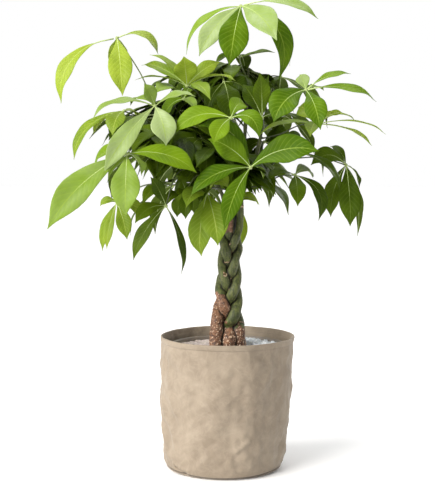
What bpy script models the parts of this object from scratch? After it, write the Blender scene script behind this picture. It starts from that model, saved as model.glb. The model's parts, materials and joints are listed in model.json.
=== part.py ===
# Potted money tree: a braided trunk of five stems with palmate fronds, in a soft bag planter.
# Metres, +Z up. The origin is on the floor under the middle of the rim. The front faces -Y.

import math
import random

import bmesh
import bpy
import numpy as np
from mathutils import Vector, noise
from mathutils.bvhtree import BVHTree

GAP = 0.0003

# The bag, its pot and what fills it
BAG_HEIGHT = 0.238
BAG_RIM_RADIUS = 0.1195
BAG_BASE_RADIUS = 0.106
BAG_FOOT_ROUND = 0.016
BAG_LEVELS = (0.016, 0.033, 0.066, 0.1, 0.142, 0.175, 0.2265, 0.238)
BAG_RADII = (0.106, 0.1096, 0.1119, 0.1137, 0.1162, 0.1180, 0.1176, 0.1183)
BAG_LEAN = -0.007
BAG_WALL = 0.0022
HEM_HEIGHT = 0.011
HEM_PROUD = 0.0012
HEM_STEP = 0.0015
BAG_DENT = 0.0032
DENT_SPACING = 0.11
DENT_PACE = 1.7
DENT_START = Vector((3.1, 0.4, 8.2))
BAG_SIDES = 30
BAG_OUTER_RINGS = (0.178, 0.12, 0.062)
BAG_INNER_RINGS = (0.09, 0.178)
POT_RIM_RADIUS = 0.103
POT_BASE_RADIUS = 0.081
POT_RIM_HEIGHT = 0.222
POT_WALL = 0.0018
POT_BEAD = 0.0035
POT_BEAD_HEIGHT = 0.012
POT_BEAD_FOOT = 0.0012
POT_SIDES = 24
SOIL_TOP = 0.2125
SOIL_SIDES = 24
FILM_INNER_RADIUS = 0.044
FILM_OUTER_RADIUS = 0.096
FILM_THICKNESS = 0.0008
FILM_CRUMPLE = 0.007
FILM_LIFT = 0.25
FILM_FOLD = 1.6
FILM_FOLD_PACE = 42.0
FILM_FOLD_START = Vector((5.2, 1.1, 0.0))
FILM_RINGS = 4
FILM_SIDES = 24

# The braid: five strands climb along one figure of eight, a fifth of a turn apart. At each of these
# heights: half a strand's width and depth, and how far the figure of eight swings across and deep.
# The straightening is the share of a wave three times as quick that is taken from the swing across,
# so a strand crosses the front almost in a straight line. Below the turn's start, within the root's
# reach, each strand goes over to its root's own place in the soil.
STEMS = 5
ROOT_DEPTH = 0.06
ROOT_REACH = 0.045
ROOT_RINGS = 4
BRAID_PITCH = 0.2266
BRAID_STRAIGHTENING = 0.11
BRAID_HEIGHTS = (0.15, 0.215, 0.26, 0.30, 0.36, 0.41, 0.45, 0.49, 0.56)
STRAND_HALF_WIDTH = (0.0090, 0.0097, 0.0085, 0.0072, 0.0062, 0.0058, 0.0052, 0.0042, 0.0036)
STRAND_HALF_DEPTH = (0.0090, 0.0101, 0.0092, 0.0080, 0.0069, 0.0065, 0.0054, 0.0043, 0.0036)
SWING_ACROSS = (0.0245, 0.0245, 0.0214, 0.0181, 0.0158, 0.0153, 0.0160, 0.0160, 0.0160)
SWING_DEEP = (0.0190, 0.0190, 0.0170, 0.0148, 0.0128, 0.0122, 0.0120, 0.0120, 0.0120)
TURN_START = 0.2525
TURN_STOP = 0.43
PARTING_START = 0.425
PARTING_END = 0.54
LEAN_HEIGHTS = (0.26, 0.36, 0.43, 0.49, 0.56)
LEAN_ACROSS = (0.0, 0.003, 0.007, 0.014, 0.018)
RING_SIDES = 7
BRAID_STEP = 0.0125
BRAID_TOP = 0.4675
SHOOT_STEP = 0.024
SHOOT_TOP_RADIUS = 0.0022

# Each stem's root, its place among the strands where they stop turning, in degrees, where its shoot
# leans and where it ends
SHOOTS = (
    {
        "root": (0.0090, 0.0150),
        "strand": 105,
        "middle": (0.027, -0.008),
        "top": (0.036, -0.004, 0.702),
    },
    {
        "root": (-0.0160, 0.0130),
        "strand": 321,
        "middle": (-0.006, -0.014),
        "top": (-0.027, -0.012, 0.664),
    },
    {
        "root": (0.0018, -0.0154),
        "strand": 249,
        "middle": (-0.034, -0.016),
        "top": (-0.068, -0.022, 0.604),
    },
    {
        "root": (-0.0208, -0.0165),
        "strand": 33,
        "middle": (0.045, 0.002),
        "top": (0.062, -0.004, 0.612),
    },
    {
        "root": (0.0212, -0.0082),
        "strand": 177,
        "middle": (0.006, 0.030),
        "top": (0.000, 0.062, 0.640),
    },
)
SHOOT_HEIGHTS = (0.43, 0.53)
SHOOT_FOOT = (0.008, 0.0)

# The photograph's camera, which turns a picture point and a depth into a place
CAMERA = Vector((-0.018, -2.2, 0.581))
CAMERA_PITCH = math.radians(-4.83)
PICTURE_FOCAL = 1243.0
PICTURE_MIDDLE = (217.5, 247.5)

# Petioles, hubs and leaflets
PETIOLE_RADIUS = 0.0013
PETIOLE_POINTS = 4
PETIOLE_COLLAR = 0.005
PETIOLE_FLARE = 1.4
PETIOLE_LEAD = 0.3
PETIOLE_BOW = 0.18
PETIOLE_TOP_GAP = 0.004
BARK_GAP = 0.0004
RAY_START = 0.05
OUTWARD_LEAN = 0.5
HUB_RADIUS = 0.0042
BLADE_STATIONS = (0.0, 0.27, 0.58, 0.84)
BLADE_OUTLINE = (0.04, 0.56, 1.0, 0.6)
BLADE_RIB = (0.0018, 0.0018, 0.0015, 0.0012)
BLADE_FOLD = 0.16
BLADE_WAVE = 0.07
STALK_HALF_WIDTH = 0.0009
ROOT_SHARE = 0.07
CLEARANCE = 0.0009
SPARE_SHIFTS = (0, 0.012, -0.012, 0.025, -0.025, 0.04, -0.04, 0.06, -0.06, 0.08, -0.08)
SPARE_TURNS = (0, 20, -20, 40, -40)
SPARE_LIFTS = (0, 0.12, -0.12)
SPARE_DROPS = (0, -0.006, 0.006, -0.012, 0.012, 0.02, 0.03, 0.04, 0.055, 0.07)
SPARE_BOWS = (0, 0.12, -0.12, 0.25, -0.25, 0.4)
SPARE_SWINGS = (0, 25, -25, 50, -50, 80, -80)


def leaf(x, y, width, away=0.0, lift=0.25, turn=55, stalk=0.0):
    """A leaflet: the picture point of its tip, its width in mm, and how it lies."""
    return {
        "tip": (x, y),
        "width": width / 1000,
        "away": away,
        "lift": lift,
        "turn": turn,
        "stalk": stalk,
    }


# Fronds read from the photograph. hub is a picture point in its 435 x 495 frame, depth is how far
# the hub lies behind the pot's axis, and root is the shoot's number and the height of the petiole.
FRONDS = (
    {
        "root": (3, 0.598),
        "hub": (117, 38),
        "depth": -0.03,
        "age": "young",
        "bow": 0.05,
        "leaves": (
            leaf(58, 103, 36, -0.03, 0.42, 60, 0.2),
            leaf(122, 95, 42, -0.06, 0.2, 80),
            leaf(160, 53, 34, 0.02, 0.5, 30, 0.15),
            leaf(119, 82, 36, 0.09, 0.3, 40),
        ),
    },
    {
        "root": (3, 0.575),
        "hub": (155, 106),
        "depth": -0.14,
        "age": "mid",
        "leaves": (
            leaf(88.5, 117.5, 30, -0.03, 0.3, 20),
            leaf(129, 103.5, 26, 0.07, 0.3, 30),
            leaf(104, 172, 36, -0.05, 0.1, 75),
            leaf(166.6, 145.4, 42, -0.03, 0.2, 85),
            leaf(196, 95.5, 26, -0.02, 0.25, 30),
            leaf(145, 84, 26, 0.06, 0.1, 60),
        ),
    },
    {
        "root": (3, 0.562),
        "hub": (124, 111),
        "depth": -0.06,
        "age": "young",
        "leaves": (
            leaf(71.5, 159, 30, -0.02, 0.35, 25),
            leaf(92, 134, 34, 0.05, 0.2, 20),
            leaf(112, 135, 34, -0.05, 0.3, 40),
            leaf(146, 130, 34, 0.08, 0.3, 40),
        ),
    },
    {
        "root": (3, 0.532),
        "hub": (127, 154),
        "depth": -0.17,
        "age": "mid",
        "leaves": (
            leaf(47, 229, 50, -0.03, 0.15, 75),
            leaf(125, 215.5, 48, -0.04, 0.15, 85),
            leaf(197, 172, 44, -0.02, 0.25, 45),
            leaf(143, 175, 34, 0.08, 0.25, 50),
            leaf(92, 165, 36, 0.09, 0.25, 50),
        ),
    },
    {
        "root": (3, 0.548),
        "hub": (156, 138),
        "depth": -0.09,
        "age": "dark",
        "leaves": (
            leaf(131, 151, 24, -0.04, 0.2, 35),
            leaf(134, 131, 26, 0.05, 0.3, 35),
            leaf(163, 150, 30, -0.09, 0.25, 40),
            leaf(178, 128, 28, 0.08, 0.3, 40),
        ),
    },
    {
        "root": (3, 0.515),
        "hub": (117, 203),
        "depth": -0.06,
        "age": "young",
        "bow": 0.3,
        "leaves": (
            leaf(99.5, 206, 16, 0.0, 0.5, 50),
            leaf(106.6, 249, 18, -0.02, 0.15, 60),
            leaf(101.8, 251, 22, 0.04, 0.2, 60),
            leaf(127, 239.5, 27, -0.03, 0.15, 80),
            leaf(144, 213, 24, 0.03, 0.2, 60),
        ),
    },
    {
        "root": (2, 0.545),
        "hub": (166, 206),
        "depth": -0.11,
        "age": "dark",
        "bow": 0.55,
        "leaves": (
            leaf(151.5, 178, 24, -0.04, 0.1, 70),
            leaf(135, 223, 27, -0.04, 0.3, 55),
            leaf(132.7, 260, 26, -0.01, 0.15, 60),
            leaf(184, 274, 18, 0.0, 0.15, 40),
            leaf(177, 192, 20, 0.05, 0.2, 60),
        ),
    },
    {
        "root": (2, 0.525),
        "hub": (186, 191),
        "depth": -0.1,
        "age": "dark",
        "bow": 0.4,
        "leaves": (
            leaf(177, 217, 26, 0.03, 0.2, 70),
            leaf(185.5, 219, 24, -0.03, 0.2, 70),
            leaf(194, 213, 24, 0.01, 0.2, 70),
            leaf(178, 176, 26, -0.02, 0.1, 60),
            leaf(203, 196, 26, 0.06, 0.3, 60),
        ),
    },
    {
        "root": (2, 0.5),
        "hub": (207, 193),
        "depth": -0.07,
        "age": "young",
        "bow": 0.3,
        "leaves": (
            leaf(200, 257, 42, -0.01, 0.1, 85),
            leaf(218, 245, 48, -0.05, 0.15, 85),
            leaf(186, 206, 34, -0.03, 0.3, 60),
            leaf(228, 186, 34, -0.08, 0.3, 60),
        ),
    },
    {
        "root": (5, 0.53),
        "hub": (238, 202),
        "depth": 0.06,
        "age": "young",
        "bow": 0.4,
        "leaves": (
            leaf(241, 247, 27, -0.02, 0.1, 80),
            leaf(222, 232, 30, 0.05, 0.2, 60),
            leaf(260, 205, 30, 0.06, 0.3, 50),
            leaf(236, 196, 32, 0.11, 0.3, 50),
        ),
    },
    {
        "root": (1, 0.5),
        "hub": (250.5, 167.5),
        "depth": -0.15,
        "age": "mid",
        "leaves": (
            leaf(224.5, 229.5, 34, -0.06, 0.15, 75),
            leaf(319, 150.5, 48, -0.03, 0.25, 75),
            leaf(209, 138.5, 42, -0.02, 0.15, 80),
            leaf(200, 125, 38, 0.05, 0.6, 60),
            leaf(190, 195, 36, -0.02, 0.25, 45),
            leaf(264, 178, 26, 0.07, 0.25, 50),
        ),
    },
    {
        "root": (4, 0.505),
        "hub": (295, 175),
        "depth": -0.05,
        "age": "dark",
        "leaves": (
            leaf(298, 206, 30, -0.06, 0.2, 85),
            leaf(319.5, 221, 26, -0.01, 0.5, 50),
            leaf(268, 180, 30, -0.05, 0.25, 25),
            leaf(314, 178, 30, 0.07, 0.3, 45),
        ),
    },
    {
        "root": (4, 0.552),
        "hub": (346, 165),
        "depth": -0.02,
        "age": "dark",
        "leaves": (
            leaf(330, 145, 16, 0.03, 0.3, 40),
            leaf(311, 165, 32, -0.03, 0.5, 60),
            leaf(330.5, 217, 34, 0.02, 0.2, 60),
            leaf(350.5, 226.5, 40, -0.04, 0.15, 80),
            leaf(360, 188, 20, 0.03, 0.35, 30),
            leaf(358.5, 236, 24, 0.04, 0.3, 25),
        ),
    },
    {
        "root": (4, 0.535),
        "hub": (296, 153),
        "depth": -0.07,
        "age": "dark",
        "leaves": (
            leaf(342, 190, 24, -0.02, 0.35, 25),
            leaf(325, 176, 28, 0.06, 0.3, 40),
            leaf(272, 160, 30, -0.03, 0.3, 45),
            leaf(287, 131, 30, 0.04, 0.2, 60),
        ),
    },
    {
        "root": (1, 0.655),
        "hub": (306, 90),
        "depth": -0.1,
        "age": "mid",
        "leaves": (
            leaf(299.5, 74, 24, 0.02, 0.1, 80),
            leaf(351, 73, 24, 0.03, 0.2, 30, 0.15),
            leaf(378, 99, 30, 0.0, 0.2, 35, 0.15),
            leaf(273.5, 122, 50, -0.04, 0.3, 60),
            leaf(320, 129, 38, -0.05, 0.2, 80),
            leaf(324, 90, 18, 0.05, 0.2, 30),
        ),
    },
    {
        "root": (4, 0.59),
        "hub": (318, 124),
        "depth": -0.04,
        "age": "young",
        "leaves": (
            leaf(387, 132, 26, -0.02, 0.2, 4, 0.15),
            leaf(373, 143, 24, 0.05, 0.15, 6),
            leaf(357.5, 120, 18, 0.05, 0.3, 6),
            leaf(345, 112.5, 24, 0.03, 0.3, 15),
            leaf(257, 134.5, 28, -0.04, 0.2, 15),
            leaf(310, 136, 28, -0.09, 0.2, 25),
            leaf(297, 106, 40, 0.05, 0.2, 70),
        ),
    },
    {
        "root": (4, 0.6),
        "hub": (262, 118),
        "depth": -0.11,
        "age": "dark",
        "leaves": (
            leaf(260.3, 73.5, 30, -0.02, -0.15, 80),
            leaf(269, 74, 16, 0.03, -0.3, 60),
            leaf(243, 84, 32, 0.03, 0.1, 70),
            leaf(287, 117, 32, 0.04, 0.3, 45),
        ),
    },
    {
        "root": (1, 0.56),
        "hub": (231, 118),
        "depth": -0.17,
        "age": "mid",
        "leaves": (
            leaf(259.5, 137.5, 30, -0.03, 0.6, 60),
            leaf(173, 133, 34, 0.01, 0.35, 60),
            leaf(214, 143, 34, -0.03, 0.25, 60),
            leaf(246, 103, 32, 0.05, 0.3, 60),
        ),
    },
    {
        "root": (1, 0.697),
        "hub": (241, 6),
        "depth": -0.04,
        "age": "mid",
        "leaves": (
            leaf(319.5, 16.5, 30, -0.02, 0.25, 40, 0.2),
            leaf(276, 38, 48, -0.12, 0.15, 75),
            leaf(280, 81, 38, -0.02, 0.5, 60),
            leaf(293, 66, 22, 0.05, 0.5, 30),
            leaf(230, 65, 52, -0.05, 0.15, 85),
            leaf(199, 56, 38, -0.05, 0.2, 60),
            leaf(183.5, 54, 26, 0.0, 0.35, 30),
        ),
    },
    {
        "root": (1, 0.69),
        "hub": (239, 57),
        "depth": 0.03,
        "age": "dark",
        "bow": 0.05,
        "leaves": (
            leaf(275, 51, 30, 0.0, 0.05, 12),
            leaf(214, 30, 24, 0.06, 0.2, 40),
            leaf(246, 74, 30, 0.11, 0.3, 40),
            leaf(213, 66, 28, 0.04, 0.3, 40),
        ),
    },
    {
        "root": (2, 0.64),
        "hub": (187, 86),
        "depth": -0.07,
        "age": "young",
        "leaves": (
            leaf(184, 57, 40, -0.03, 0.1, 85),
            leaf(220.5, 61, 26, -0.03, 0.15, 55),
            leaf(150, 53, 20, 0.02, 0.2, 25),
            leaf(141, 62.5, 26, -0.02, 0.3, 15),
            leaf(134.5, 79, 20, -0.03, 0.2, 5),
            leaf(236, 79, 28, -0.02, 0.2, 25),
            leaf(210, 97, 26, -0.09, 0.2, 35),
        ),
    },
    {
        "root": (2, 0.615),
        "hub": (184, 99),
        "depth": -0.04,
        "age": "mid",
        "leaves": (
            leaf(155, 91, 32, -0.08, 0.3, 40),
            leaf(196, 111, 18, -0.08, 0.2, 60),
            leaf(163, 118, 34, 0.03, 0.3, 50),
            leaf(201, 78, 32, 0.06, 0.2, 60),
        ),
    },
    {
        "root": (2, 0.65),
        "hub": (224, 82),
        "depth": -0.05,
        "age": "dark",
        "leaves": (
            leaf(231, 120, 42, -0.06, 0.2, 85),
            leaf(207, 113, 24, -0.02, 0.2, 60),
            leaf(248, 92, 34, -0.03, 0.3, 45),
            leaf(212, 64, 30, 0.07, 0.2, 60),
        ),
    },
    {
        "root": (5, 0.55),
        "hub": (202, 139),
        "depth": -0.05,
        "age": "dark",
        "bow": 0.05,
        "leaves": (
            leaf(168, 152, 38, -0.04, 0.25, 60),
            leaf(186, 168, 36, -0.07, 0.25, 70),
            leaf(224, 155, 36, -0.02, 0.2, 50),
            leaf(180, 124, 34, 0.05, 0.25, 60),
        ),
    },
    {
        "root": (4, 0.57),
        "hub": (264, 142),
        "depth": 0.035,
        "age": "dark",
        "leaves": (
            leaf(288, 134, 36, -0.04, 0.2, 60),
            leaf(284, 156, 36, 0.03, 0.2, 65),
            leaf(258, 172, 36, 0.05, 0.2, 60),
            leaf(240, 158, 34, 0.04, 0.25, 60),
        ),
    },
)

# The crown's other fronds fill its back and inside by a seeded rule, lower on the left than the right
FILL_FRONDS = 16
FILL_SEED = 11
FILL_MIDDLE = Vector((-0.03, 0.01, 0.63))
FILL_REACH = Vector((0.14, 0.2, 0.12))
FILL_TILT = 0.25
FILL_TURN_START = math.radians(8)
FILL_TURN_SPAN = math.radians(164)
FILL_RISE = 0.9
FILL_SHARE = (0.8, 1.0)
FILL_LOWEST_ROOT = 0.5
FILL_ROOT_GAP = 0.01
FILL_ROOT_FALL = (0.0, 0.05)
FILL_LEAFLETS = (5, 6)
FILL_WIDTH = (0.03, 0.044)
FILL_LENGTH = (0.1, 0.15)
FILL_DROOP = (0.3, 0.9)
FILL_ARCH = (0.2, 0.35)
FILL_TURN = (15, 45)
FAN_HALF = 140
FAN_UNEVEN = 8
FAN_MIDDLE_LONGER = 0.2
FAN_MIDDLE_DROOP = 0.25
GOLDEN_ANGLE = math.radians(137.5)
GOLDEN_SHARE = 0.618

TRUNK_COLOUR = (0.12, 0.11, 0.05)
LEAF_COLOURS = {
    "young": (0.19, 0.33, 0.035),
    "mid": (0.10, 0.23, 0.025),
    "dark": (0.05, 0.12, 0.015),
}


def clear_scene():
    for obj in list(bpy.data.objects):
        bpy.data.objects.remove(obj, do_unlink=True)
    for collection in list(bpy.data.collections):
        bpy.data.collections.remove(collection)


def new_collection(name, hidden=False):
    collection = bpy.data.collections.new(name)
    collection.hide_render = hidden
    bpy.context.scene.collection.children.link(collection)
    return collection


def principled(name, colour, roughness):
    material = bpy.data.materials.new(name)
    material.use_nodes = True
    shader = material.node_tree.nodes["Principled BSDF"]
    shader.inputs["Base Color"].default_value = (*colour, 1.0)
    shader.inputs["Roughness"].default_value = roughness
    shader.inputs["Metallic"].default_value = 0.0
    return material


def add_object(name, mesh, collection, material=None):
    obj = bpy.data.objects.new(name, mesh)
    collection.objects.link(obj)
    if material:
        mesh.materials.append(material)
    return obj


def evaluated_mesh(obj):
    """The mesh an object shows with its modifiers, its doubles merged."""
    graph = bpy.context.evaluated_depsgraph_get()
    mesh = bpy.data.meshes.new_from_object(obj.evaluated_get(graph))
    work = bmesh.new()
    work.from_mesh(mesh)
    bmesh.ops.remove_doubles(work, verts=work.verts, dist=1e-6)
    work.to_mesh(mesh)
    work.free()
    return mesh


def applied(obj, name, collection, material=None):
    """A plain mesh object in the place of one with modifiers or of a curve."""
    mesh = evaluated_mesh(obj)
    bpy.data.objects.remove(obj, do_unlink=True)
    mesh.materials.clear()
    return add_object(name, mesh, collection, material)


def turned(name, profile, sides, collection):
    """A profile of (radius, height) turned about Z."""
    mesh = bpy.data.meshes.new(name + "_profile")
    points = [(radius, 0.0, height) for radius, height in profile]
    mesh.from_pydata(points, [(i, i + 1) for i in range(len(points) - 1)], [])
    obj = add_object(name, mesh, collection)
    screw = obj.modifiers.new("Turn", "SCREW")
    screw.steps = sides
    screw.render_steps = sides
    screw.use_merge_vertices = True
    screw.merge_threshold = 0.00001
    return obj


def tube(name, points, radii, collection):
    """A four-sided tube along points, with a radius at each."""
    curve = bpy.data.curves.new(name, "CURVE")
    curve.dimensions = "3D"
    curve.bevel_depth = 1.0
    curve.bevel_resolution = 0
    curve.use_fill_caps = True
    spline = curve.splines.new("POLY")
    spline.points.add(len(points) - 1)
    for point, place, radius in zip(spline.points, points, radii):
        point.co = (*place, 1.0)
        point.radius = radius
    return add_object(name, curve, collection)


def move_points(obj, rule):
    """Moves each vertex of a mesh to where rule puts it."""
    for vertex in obj.data.vertices:
        vertex.co = rule(vertex.co)


def bag_dent(angle, height):
    """How far a dent pushes the bag's wall out, as a share of its depth, least at base and rim."""
    around = Vector((math.cos(angle), math.sin(angle), height / DENT_SPACING)) * DENT_PACE
    held = math.sqrt(math.sin(math.pi * min(1.0, height / BAG_HEIGHT)))
    return noise.noise(around + DENT_START) * held


def crumpled_bag(place):
    """A bag's point with the dents of the wall, and with the lean of the whole bag."""
    lean = BAG_LEAN * (1.0 - place.z / BAG_HEIGHT)
    flat = math.hypot(place.x, place.y)
    push = 1.0
    if flat > BAG_BASE_RADIUS - BAG_FOOT_ROUND:
        push += BAG_DENT * bag_dent(math.atan2(place.y, place.x), place.z) / flat
    return Vector((place.x * push + lean, place.y * push, place.z))


def bag_wall_radius(height):
    return float(np.interp(height, BAG_LEVELS, BAG_RADII))


def bag_outline():
    """The outside from the rim down to the middle of the base, as (radius, height)."""
    hem_foot = BAG_HEIGHT - HEM_HEIGHT
    outline = [(BAG_RIM_RADIUS, BAG_HEIGHT)]
    outline.append((bag_wall_radius(hem_foot) + HEM_PROUD, hem_foot + HEM_STEP))
    outline.append((bag_wall_radius(hem_foot), hem_foot - HEM_STEP))
    outline += [(bag_wall_radius(height), height) for height in BAG_OUTER_RINGS]
    for degrees in (0, 45, 90):
        turn = math.radians(degrees)
        radius = BAG_BASE_RADIUS - BAG_FOOT_ROUND * (1 - math.cos(turn))
        outline.append((radius, BAG_FOOT_ROUND * (1 - math.sin(turn))))
    return outline + [(0.0, 0.0)]


def bag_inside():
    """The inside from the middle of the floor up to the rim, as (radius, height)."""
    hem_foot = BAG_HEIGHT - HEM_HEIGHT
    outline = [(0.0, BAG_WALL), (BAG_BASE_RADIUS - BAG_FOOT_ROUND, BAG_WALL)]
    outline.append((BAG_BASE_RADIUS - BAG_WALL, BAG_FOOT_ROUND + BAG_WALL))
    outline += [(bag_wall_radius(height) - BAG_WALL, height) for height in BAG_INNER_RINGS]
    outline.append((bag_wall_radius(hem_foot) - BAG_WALL, hem_foot - HEM_STEP))
    outline.append((bag_wall_radius(hem_foot) - BAG_WALL - HEM_PROUD, hem_foot + HEM_STEP))
    return outline + [(BAG_RIM_RADIUS - BAG_WALL - HEM_PROUD, BAG_HEIGHT)]


def make_bag(collection):
    """The bag: its floor, its flared wall and the folded hem, as one turned skin."""
    outline = bag_outline()
    skin = turned("bag_skin", outline + bag_inside() + outline[:1], BAG_SIDES, collection)
    material = principled("bag_fabric", (0.50, 0.42, 0.33), 0.8)
    bag = applied(skin, "grow_bag", collection, material)
    move_points(bag, crumpled_bag)
    bag.data.shade_smooth()
    return bag


def make_pot(collection):
    """The plain plastic pot that stands on the bag's floor, with a rolled rim."""
    floor = BAG_WALL + GAP
    outer = [(POT_RIM_RADIUS + POT_BEAD, POT_RIM_HEIGHT)]
    outer.append((POT_RIM_RADIUS + POT_BEAD, POT_RIM_HEIGHT - POT_BEAD_HEIGHT))
    outer.append((POT_RIM_RADIUS - POT_BEAD_FOOT, POT_RIM_HEIGHT - POT_BEAD_HEIGHT))
    outer.append((POT_BASE_RADIUS, floor))
    outer.append((0.0, floor))
    inner = [(0.0, floor + POT_WALL), (POT_BASE_RADIUS - POT_WALL, floor + POT_WALL)]
    inner.append((POT_RIM_RADIUS - POT_WALL, POT_RIM_HEIGHT))
    inner.append(outer[0])
    skin = turned("pot_skin", outer + inner, POT_SIDES, collection)
    material = principled("pot_plastic", (0.16, 0.15, 0.14), 0.5)
    pot = applied(skin, "nursery_pot", collection, material)
    pot.data.shade_smooth()
    return pot


def pot_inner_radius(height):
    floor = BAG_WALL + GAP + POT_WALL
    share = (height - floor) / (POT_RIM_HEIGHT - floor)
    return POT_BASE_RADIUS - POT_WALL + (POT_RIM_RADIUS - POT_BASE_RADIUS) * share


def make_soil(collection, cutters):
    """Potting mix that fills the pot, with a plain hole for each stem."""
    foot = BAG_WALL + POT_WALL + 2 * GAP
    facet = math.cos(math.pi / POT_SIDES)
    top_radius = pot_inner_radius(SOIL_TOP) * facet - GAP
    foot_radius = pot_inner_radius(foot) * facet - 3 * GAP
    profile = [(0.0, SOIL_TOP), (top_radius, SOIL_TOP), (foot_radius, foot), (0.0, foot)]
    skin = turned("soil_skin", profile, SOIL_SIDES, collection)
    block = applied(skin, "soil_block", collection)
    cut = block.modifiers.new("Stem holes", "BOOLEAN")
    cut.operation = "DIFFERENCE"
    cut.operand_type = "COLLECTION"
    cut.collection = cutters
    cut.solver = "EXACT"
    material = principled("potting_mix", (0.05, 0.035, 0.025), 0.95)
    return applied(block, "soil", collection, material)


def crumpled_film(place):
    """Film lifts off the soil in soft folds, most between its two edges."""
    flat = math.hypot(place.x, place.y)
    share = (flat - FILM_INNER_RADIUS) / (FILM_OUTER_RADIUS - FILM_INNER_RADIUS)
    belly = math.sin(math.pi * min(1.0, max(0.0, share)))
    spot = Vector((place.x, place.y, 0.0)) * FILM_FOLD_PACE + FILM_FOLD_START
    lift = FILM_CRUMPLE * belly * (FILM_LIFT + FILM_FOLD * abs(noise.noise(spot)))
    return Vector((place.x, place.y, place.z + lift))


def make_film(collection):
    """Clear film laid over the soil, open round the trunk."""
    low = SOIL_TOP + GAP
    span = FILM_OUTER_RADIUS - FILM_INNER_RADIUS
    profile = []
    for ring in range(FILM_RINGS):
        profile.append((FILM_OUTER_RADIUS - span * ring / (FILM_RINGS - 1), low))
    ring_skin = turned("film_ring", profile, FILM_SIDES, collection)
    sheet = applied(ring_skin, "film_sheet", collection)
    move_points(sheet, crumpled_film)
    if sheet.data.polygons[0].normal.z < 0:
        sheet.data.flip_normals()
    wall = sheet.modifiers.new("Thickness", "SOLIDIFY")
    wall.thickness = FILM_THICKNESS
    wall.offset = 1.0
    material = principled("clear_film", (0.8, 0.82, 0.84), 0.2)
    return applied(sheet, "liner_film", collection, material)


def smooth_share(value, low, high):
    share = min(1.0, max(0.0, (value - low) / (high - low)))
    return share * share * (3.0 - 2.0 * share)


def at_height(values, height):
    return float(np.interp(height, BRAID_HEIGHTS, values))


def strand_place(number, height):
    """The middle of one strand: it climbs a figure of eight, from its root's place in the soil."""
    level = min(max(height, TURN_START), TURN_STOP)
    turn = 2 * math.pi * (TURN_STOP - level) / BRAID_PITCH
    turn += math.radians(SHOOTS[number]["strand"])
    wave = math.sin(turn) - BRAID_STRAIGHTENING * math.sin(3 * turn)
    across = at_height(SWING_ACROSS, level) * wave / (1.0 + BRAID_STRAIGHTENING)
    across += float(np.interp(height, LEAN_HEIGHTS, LEAN_ACROSS))
    deep = at_height(SWING_DEEP, level) * math.sin(2 * turn)
    rooted = smooth_share(TURN_START - height, 0.0, ROOT_REACH)
    root = Vector((*SHOOTS[number]["root"], height))
    return Vector((across, deep, height)).lerp(root, rooted)


def shoot_place(number, height):
    """The middle of one shoot above the braid, from the trunk's middle out to its own top."""
    middle, top = SHOOTS[number]["middle"], SHOOTS[number]["top"]
    heights = (*SHOOT_HEIGHTS, top[2])
    across = float(np.interp(height, heights, (SHOOT_FOOT[0], middle[0], top[0])))
    deep = float(np.interp(height, heights, (SHOOT_FOOT[1], middle[1], top[1])))
    return Vector((across, deep, height))


def stem_place(number, height):
    parting = smooth_share(height, PARTING_START, PARTING_END)
    return strand_place(number, height).lerp(shoot_place(number, height), parting)


def stem_radii(number, height):
    """Half the width and half the depth of a stem."""
    start, top = BRAID_HEIGHTS[-1], SHOOTS[number]["top"][2]
    taper = min(1.0, max(0.0, (height - start) / (top - start)))
    wide, deep = at_height(STRAND_HALF_WIDTH, height), at_height(STRAND_HALF_DEPTH, height)
    return wide + (SHOOT_TOP_RADIUS - wide) * taper, deep + (SHOOT_TOP_RADIUS - deep) * taper


def stem_heights(number):
    """Close rings where the strands are braided, and wider steps in the soil and up the shoots."""
    foot, top = SOIL_TOP - ROOT_DEPTH, SHOOTS[number]["top"][2]
    heights = list(np.linspace(foot, TURN_START, ROOT_RINGS + 1)[:-1])
    heights += list(np.arange(TURN_START, BRAID_TOP, BRAID_STEP))
    count = round((top - heights[-1]) / SHOOT_STEP)
    return heights + list(np.linspace(heights[-1], top, count + 1)[1:])


def lofted(name, rings, collection, material=None):
    """A closed body between level rings with the same number of points."""
    sides = len(rings[0])
    points = [point for ring in rings for point in ring]
    faces = [tuple(reversed(range(sides)))]
    for ring in range(len(rings) - 1):
        low, high = ring * sides, (ring + 1) * sides
        for side in range(sides):
            after = (side + 1) % sides
            faces.append((low + side, low + after, high + after, high + side))
    faces.append(tuple(range(len(points) - sides, len(points))))
    mesh = bpy.data.meshes.new(name)
    mesh.from_pydata(points, [], faces)
    return add_object(name, mesh, collection, material)


def stem_ring(number, height, extra=0.0):
    middle = stem_place(number, height)
    wide, deep = stem_radii(number, height)
    ring = []
    for side in range(RING_SIDES):
        turn = 2 * math.pi * side / RING_SIDES
        across = (wide + extra) * math.cos(turn)
        ring.append(middle + Vector((across, (deep + extra) * math.sin(turn), 0.0)))
    return ring


def make_stem(number, collection, material):
    rings = [stem_ring(number, height) for height in stem_heights(number)]
    stem = lofted(f"stem_{number + 1}", rings, collection, material)
    stem.data.shade_smooth()
    return stem


def make_hole(number, collection):
    """A cutter a little wider than the stem that it clears, and a little deeper."""
    heights = [height for height in stem_heights(number) if height < SOIL_TOP + 2 * BRAID_STEP]
    rings = [stem_ring(number, height, 2 * GAP) for height in heights]
    rings[0] = [point - Vector((0, 0, 2 * GAP)) for point in rings[0]]
    hole = lofted(f"stem_hole_{number + 1}", rings, collection)
    hole.hide_render = True
    hole.display_type = "WIRE"
    return hole


def picture_place(point, depth):
    """Where a picture point lies, at a depth behind the pot's axis."""
    across = (point[0] - PICTURE_MIDDLE[0]) / PICTURE_FOCAL
    up = (PICTURE_MIDDLE[1] - point[1]) / PICTURE_FOCAL
    level = math.cos(CAMERA_PITCH) - up * math.sin(CAMERA_PITCH)
    rise = math.sin(CAMERA_PITCH) + up * math.cos(CAMERA_PITCH)
    reach = (depth - CAMERA.y) / level
    return CAMERA + Vector((across, level, rise)) * reach


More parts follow.
